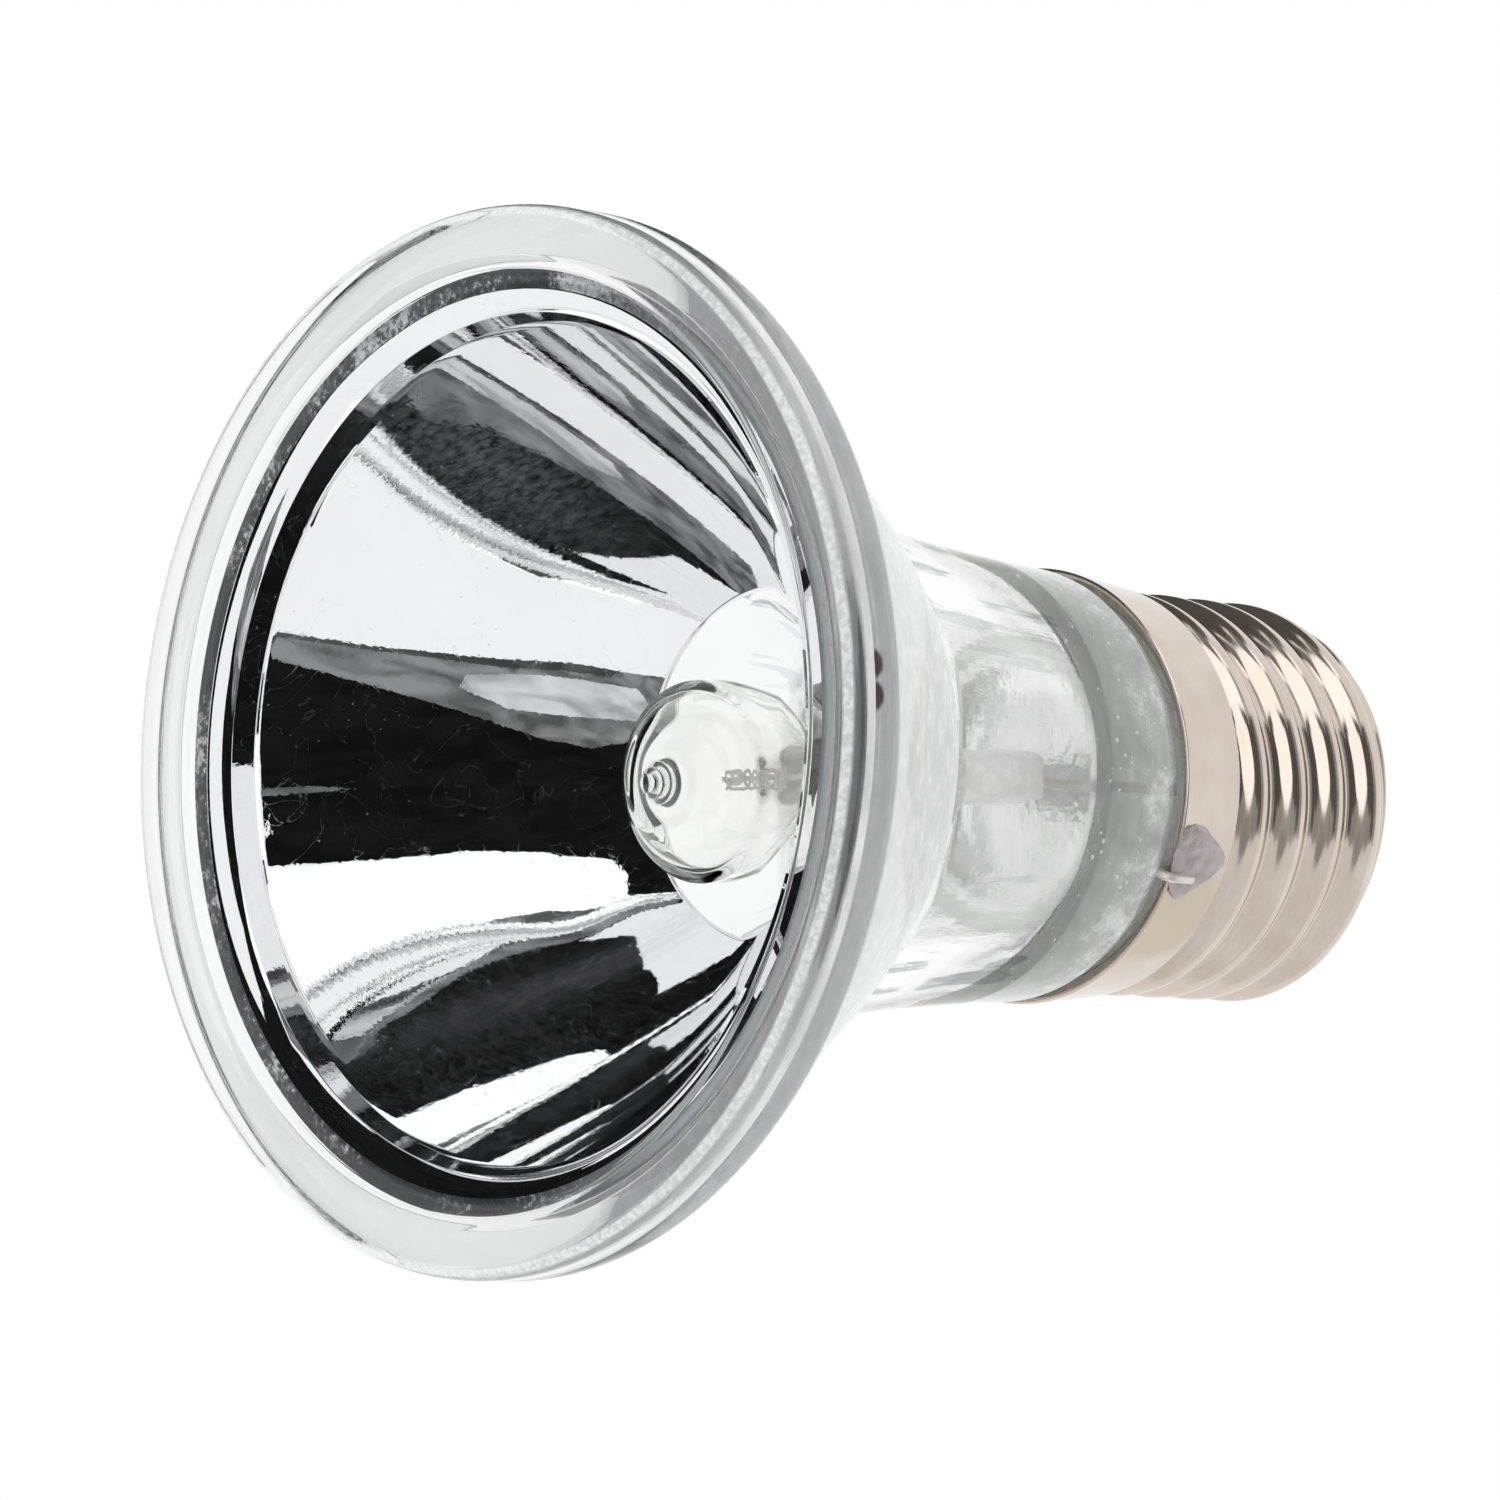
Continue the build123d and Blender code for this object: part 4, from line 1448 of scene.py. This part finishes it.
@dataclass
class ScrewCap:
    """The rolled screw shell with its flared skirt, and the solder on the skirt."""

    edge_height: float = 47.5
    edge_radius: float = 14.0
    skirt_end: float = 53.5
    skirt_end_radius: float = 13.3
    skirt_wall: float = 0.5
    shell_end: float = 68.8
    shell_rows: int = 170
    wall: float = 0.3
    crest_radius: float = 13.15
    pitch: float = 3.629
    depth: float = 1.095
    first_crest: float = 55.6
    run_in: Point = (0.6, 1.3)
    end_round: float = 2.4
    lip_radius: float = 11.0
    lip_height: float = 0.6
    lip_land: float = 0.3
    crest_margin: float = 0.2
    outside_slack: float = 0.05
    solder_angle: float = 20.0
    solder_height: float = 49.6
    solder_radius: float = 13.85
    solder_size: Place = (0.6, 3.0, 2.4)
    solder_lumps: tuple[Point, ...] = ((2.1, 0.12), (5.3, 0.04))
    solder_taper: Place = (1.1, 0.8, 0.12)
    solder_gap: float = 0.02

    def thread_radius(self, height: float, angle: float) -> float:
        """Radius of the rolled thread's round profile.

        Args:
            height: Height in millimetres.
            angle: Angle round the axis in radians.

        Returns:
            Radius in millimetres.
        """
        round_radius = ((self.pitch / 4) ** 2 + (self.depth / 2) ** 2) / self.depth
        turns = (height - self.first_crest) / self.pitch - (angle + math.pi / 2) / math.tau
        away = abs(turns - round(turns)) * self.pitch
        if away <= self.pitch / 4:
            return self.crest_radius - round_radius + math.sqrt(round_radius**2 - away**2)
        low = self.pitch / 2 - away
        return self.crest_radius - self.depth + round_radius - math.sqrt(round_radius**2 - low**2)

    def outer_radius(self, height: float, angle: float) -> float:
        """Radius of the shell's outside: skirt, thread and rounded end.

        Args:
            height: Height in millimetres.
            angle: Angle round the axis in radians.

        Returns:
            Radius in millimetres.
        """
        share = (height - self.edge_height) / (self.skirt_end - self.edge_height)
        skirt = self.edge_radius + (self.skirt_end_radius - self.edge_radius) * min(share, 1.0)
        before, length = self.run_in
        blend = min(1.0, max(0.0, (height - self.skirt_end + before) / length))
        radius = skirt + (self.thread_radius(height, angle) - skirt) * smooth(blend)
        drop = height - (self.shell_end - self.end_round)
        if drop > 0:
            bend = math.sqrt(max(0.0, 1 - (drop / self.end_round) ** 2))
            reach = self.crest_radius - self.lip_radius - self.crest_margin
            cap = self.lip_radius + self.lip_land + reach * bend
            radius = min(radius, cap)
        return radius

    def build_shell(self) -> None:
        """Turns a plain sleeve and rolls the thread into its outside."""
        edge = self.edge_radius
        sleeve = self.crest_radius - self.depth - self.wall
        ledge = self.shell_end - self.lip_height
        step = self.skirt_end - self.wall
        outline = joined(
            divided((edge, self.edge_height), (edge, self.shell_end), self.shell_rows),
            [(self.lip_radius, self.shell_end), (self.lip_radius, ledge), (sleeve, ledge), (sleeve, step)],
            [(self.skirt_end_radius - self.skirt_wall, step), (edge - self.wall, self.edge_height)],
        )
        mesh = spun(outline, Turn.FINE, True)
        for vert in mesh.verts:
            radius = math.hypot(vert.co.x, vert.co.y)
            if radius > (edge - self.outside_slack) * MM:
                angle = math.atan2(vert.co.y, vert.co.x)
                scale = self.outer_radius(vert.co.z / MM, angle) * MM / radius
                vert.co.x *= scale
                vert.co.y *= scale
        bmesh.ops.recalc_face_normals(mesh, faces=mesh.faces)
        finish_piece("screw_sleeve", mesh, [CAP_NICKEL], "screw_shell")

    def build_solder(self) -> None:
        """Makes the frozen drop of solder on the skirt."""
        mesh = bmesh.new()
        bmesh.ops.create_icosphere(mesh, subdivisions=5, radius=1.0)
        foot, taper, sag = self.solder_taper
        for vert in mesh.verts:
            vert.co *= 1.0 + sum(noise.noise(vert.co * often) * high for often, high in self.solder_lumps)
            along = (vert.co.z + 1.0) / 2.0
            vert.co.y = vert.co.y * (foot - taper * along) - sag * along
        bmesh.ops.scale(mesh, vec=Vector(self.solder_size) * MM, verts=mesh.verts)
        turn = Matrix.Rotation(math.radians(self.solder_angle - 90), 4, "Z")
        place = turn @ Matrix.Translation((self.solder_radius * MM, 0, self.solder_height * MM))
        bmesh.ops.transform(mesh, matrix=place, verts=mesh.verts)
        for vert in mesh.verts:
            height = max(self.edge_height, vert.co.z / MM)
            skin = (self.outer_radius(height, 0.0) + self.solder_gap) * MM
            radius = math.hypot(vert.co.x, vert.co.y)
            if radius < skin:
                vert.co.x *= skin / radius
                vert.co.y *= skin / radius
        finish_piece("skirt_solder", mesh, [SOLDER], "side_solder")

    def build(self) -> None:
        """Makes the shell and the solder."""
        self.build_shell()
        self.build_solder()


@dataclass
class CarriedNodes:
    """The CAD nodes that keep their own shape and only get a finish."""

    dress: tuple[tuple[Finish, tuple[str, ...]], ...] = (
        (TUNGSTEN, ("filament_coil", "filament_leg_side", "filament_leg_centre")),
        (FOIL, ("seal_foil_side", "seal_foil_centre")),
        (LEAD_WIRE, ("side_lead_wire", "centre_lead_wire")),
        (CEMENT, ("cap_cement",)),
        (BLACK_GLASS, ("cap_insulator",)),
        (CONTACT, ("centre_contact",)),
        (SOLDER, ("centre_solder",)),
    )

    def build(self) -> None:
        """Dresses each node with the material of what it is."""
        for finish, names in self.dress:
            material = finish.make()
            for name in names:
                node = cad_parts[name]
                node.data.materials.clear()
                node.data.materials.append(material)
                log.info("%s: dressed with %s", name, material.name)


@dataclass(frozen=True)
class Card:
    """A stage card: its tone, how far it hangs, and its corners as degrees to the camera's right and up."""

    name: str
    tone: Tone
    distance_mm: float
    corners: tuple[Point, ...]
    aim: Aim = Aim.BULB


CARDS = (
    Card("dark_front", Tone.DARK, 2000.0, (
        (31, 31.5), (15, 32), (3, 35), (-8, 43), (-15, 50), (-21, 58), (-45, 58), (-56, 50), (-50, 40),
        (-36, 39), (-21, 36), (-20, 20), (-23, 10), (-24, -6), (-34, -14), (-22, -13), (-12, -9), (0, -1),
        (26, -20), (32, -23), (32, 4), (30, 8), (29.5, 24), (31, 26),
    )),
    Card("dark_left", Tone.DARK, 1500.0, (
        (-46, 62), (-46, 38), (-62, 30), (-62, -8), (-125, -8), (-125, 62),
    )),
    Card("dark_behind", Tone.DARK, 1500.0, ((-112, 70), (-112, 28), (-172, 4), (-172, 60))),
    Card("dark_back", Tone.DARK, 1500.0, (
        (188, 7), (177, 17), (170, 30), (162, 41), (150, 52), (128, 61), (150, 74), (175, 78), (188, 74),
    )),
    Card("dark_zenith", Tone.DARK, 1800.0, (
        (36, 79), (75, 77), (110, 70), (130, 62), (150, 62), (175, 66), (-172, 58), (-112, 70), (-60, 80),
    )),
    Card("grey_front", Tone.GREY, 2100.0, (
        (-40, -15), (-22, -12), (-12, -8), (0, 0), (26, -19), (32, -22), (32, -25), (20, -26), (9, -27.8),
        (0, -29.5), (-14, -30.5), (-40, -30),
    )),
    Card("dim_front", Tone.DIM, 2050.0, (
        (-15, -30.5), (0, -29.5), (9, -27.8), (20, -26), (32, -25), (32, -23.5), (9, -25.5), (-13, -27.8),
    )),
    Card("pale_front", Tone.PALE, 1900.0, (
        (-10, -13), (2, -12), (9, -13), (14, -18), (13, -22), (5, -24.5), (-12, -25), (-14, -20),
    )),
    Card("pale_flash", Tone.GREY, 1900.0, ((24, 13), (30, 15.5), (31, 14), (26, 12.3))),
    Card("lamp_above", Tone.LAMP, 2200.0, (
        (-21, 58), (-15, 50), (-8, 43), (3, 35), (15, 32), (33, 32), (36, 45), (39, 60), (42, 76),
        (36, 76), (28, 68), (18, 61), (8, 57), (-5, 57), (-18, 60),
    )),
    Card("grey_ceiling", Tone.GREY, 2250.0, (
        (-18, 60), (-5, 57), (8, 57), (18, 61), (28, 68), (36, 77), (36, 84), (-60, 84), (-40, 60),
    )),
    Card("dark_ceiling", Tone.DIM, 2150.0, (
        (-28, 69), (-20, 63), (-10, 61), (3, 62), (8, 66), (5, 72), (-20, 76),
    )),
    Card("lamp_low", Tone.LAMP, 1800.0, (
        (-60, -54), (-30, -54.5), (-4, -54.5), (3, -57), (6, -62), (6, -68), (3, -74), (-12, -79.5),
        (-40, -80), (-60, -70),
    )),
    Card("lamp_table_edge", Tone.LAMP, 1820.0, (
        (23, -55), (19.5, -55), (17, -64), (12, -71), (3, -76), (-12, -79.5), (-30, -80), (-30, -84),
        (0, -81), (13, -76), (20, -68),
    )),
    Card("dark_floor", Tone.DARK, 1860.0, (
        (23, -50), (23, -58), (20, -68), (13, -76), (0, -81), (-30, -84), (-60, -86), (60, -86), (60, -50),
    )),
    Card("dim_crescent", Tone.DIM, 1700.0, (
        (-26, -57.5), (-6, -54.5), (-1, -56), (1.5, -61), (0, -68), (-5, -74), (-13, -78), (-13, -75.5),
        (-7, -71), (-3.5, -66), (-4, -61), (-8, -58.5),
    )),
    Card("strip_right", Tone.STRIP, 1500.0, (
        (33, 36), (66, 36), (70, 60), (75, 73), (43, 76), (40, 60), (35, 45),
    )),
    Card("strip_right_low", Tone.STRIP, 1500.0, ((33, 30), (66, 30), (66, 0), (33, 0))),
    Card("dark_right", Tone.DARK, 1510.0, ((36, 36), (70, 36), (70, 30), (36, 30))),
    Card("dark_right_low", Tone.DARK, 1510.0, ((34, 0), (70, 0), (70, -16), (34, -16))),
    Card("strip_for_cap", Tone.STRIP, 1200.0, (
        (-48, -8), (-18, -4), (4, 3), (14, 12), (14, 27), (2, 33), (-48, 33),
    ), Aim.CAP),
    Card("high_strip_for_cap", Tone.STRIP, 1200.0, (
        (-52, 33), (-20, 34), (8, 36), (27, 37), (27, 62), (-8, 64), (-48, 52),
    ), Aim.CAP),
    Card("gap_for_cap", Tone.DARK, 1250.0, (
        (-24, 30), (0, 30), (31, 30), (31, 38), (0, 38), (-24, 36),
    ), Aim.CAP),
    Card("dark_for_cap", Tone.DARK, 1200.0, (
        (6, -6), (30, -5), (62, -2), (62, 34), (30, 33), (10, 33),
    ), Aim.CAP),
    Card("brown_for_cap", Tone.BROWN, 1220.0, ((60, -18), (82, -18), (82, 34), (60, 34)), Aim.CAP),
    Card("low_brown_for_cap", Tone.BROWN, 1240.0, (
        (-48, -18), (0, -18), (60, -18), (60, 0), (0, 0), (-48, 0),
    ), Aim.CAP),
    Card("pale_for_cap", Tone.PALE, 1240.0, ((31, 36), (62, 36), (66, 62), (31, 62)), Aim.CAP),
    Card("dark_left_for_cap", Tone.DARK, 1200.0, (
        (-56, 40), (-90, 36), (-130, 36), (-150, 60), (-130, 80), (-60, 80),
    ), Aim.CAP),
    Card("cream_for_cap", Tone.CREAM, 1260.0, (
        (-75, -18), (0, -18), (75, -18), (110, -62), (-110, -62),
    ), Aim.CAP),
)


@dataclass
class Studio:
    """Camera, white surroundings, pale floor and the cards that mirror, glass and metal reflect."""

    camera_mm: Place = (16.570, -298.731, -261.805)
    right: Place = (-0.04406, -0.69045, 0.72203)
    down: Place = (0.99814, 0.0, 0.06091)
    forward: Place = (-0.04205, 0.72338, 0.68917)
    lens_mm: float = 160.81
    sensor_mm: float = 36.0
    clip_m: Point = (0.01, 20.0)
    floor_radius_mm: float = 900.0
    floor_sides: int = 96

    def direction(self, azimuth: float, elevation: float) -> Vector:
        """Direction from the bulb, where 0, 0 is towards the photo's camera.

        Args:
            azimuth: Degrees to the camera's right.
            elevation: Degrees up.

        Returns:
            A unit vector.
        """
        a, e = math.radians(azimuth), math.radians(elevation)
        sideways = Vector(self.right) * math.sin(a) * math.cos(e)
        return sideways - Vector(self.forward) * math.cos(a) * math.cos(e) - Vector(self.down) * math.sin(e)

    def build_world(self) -> None:
        """White surroundings of strength 1."""
        world = bpy.data.worlds.new("white_studio")
        bpy.context.scene.world = world
        world.use_nodes = True
        tree = world.node_tree
        tree.nodes.clear()
        light = add_node(tree, "Background", {"Color": grey(1.0), "Strength": 1.0})
        add_node(tree, "OutputWorld", {"Surface": light})

    def build_floor(self) -> None:
        """A round pale floor under the bulb."""
        mesh = bmesh.new()
        radius = self.floor_radius_mm * MM
        bmesh.ops.create_circle(mesh, cap_ends=True, radius=radius, segments=self.floor_sides)
        added_object("floor", mesh, [FLOOR.make()])

    def build_camera(self) -> None:
        """The camera of the photo's view."""
        data = bpy.data.cameras.new("photo_camera")
        data.sensor_width = self.sensor_mm
        data.lens = self.lens_mm
        data.clip_start, data.clip_end = self.clip_m
        camera = bpy.data.objects.new("photo_camera", data)
        columns = (Vector(self.right), -Vector(self.down), -Vector(self.forward))
        turn = Matrix([[column[row] for column in columns] for row in range(3)]).to_4x4()
        camera.matrix_world = Matrix.Translation(Vector(self.camera_mm) * MM) @ turn
        bpy.context.scene.collection.objects.link(camera)
        bpy.context.scene.camera = camera

    def build_card(self, card: Card, material: Material) -> None:
        """Makes a flat stage card from the directions of its corners.

        Args:
            card: What the card is and where it hangs.
            material: Its material.
        """
        aim = Vector(card.aim.value)
        rays = [self.direction(*corner) for corner in card.corners]
        facing = sum(rays, Vector()).normalized()
        corners = [(aim + ray * card.distance_mm / ray.dot(facing)) * MM for ray in rays]
        mesh = bmesh.new()
        mesh.faces.new([mesh.verts.new(corner) for corner in corners])
        piece = added_object(card.name, mesh, [material])
        for kind in RayKind:
            if kind is not RayKind.TRANSMISSION or card.aim is Aim.CAP:
                setattr(piece, kind.value, False)

    def build(self) -> None:
        """Sets the stage."""
        bpy.context.scene.view_settings.view_transform = "Standard"
        self.build_world()
        self.build_floor()
        self.build_camera()
        materials: dict[str, Material] = {}
        for card in CARDS:
            name = f"{card.tone.name.lower()}_studio_card_for_{card.aim.name.lower()}"
            if name not in materials:
                materials[name] = StageCard(name, tone=card.tone, aim=card.aim).make()
            self.build_card(card, materials[name])


def main() -> None:
    """Builds the bulb and its stage."""
    logging.basicConfig(level=logging.INFO, format="%(name)s: %(message)s")
    for part in (Reflector(), FrontLens(), QuartzCapsule(), ScrewCap(), CarriedNodes(), Studio()):
        log.info("building %s", type(part).__name__)
        part.build()


if __name__ == "__main__":
    main()
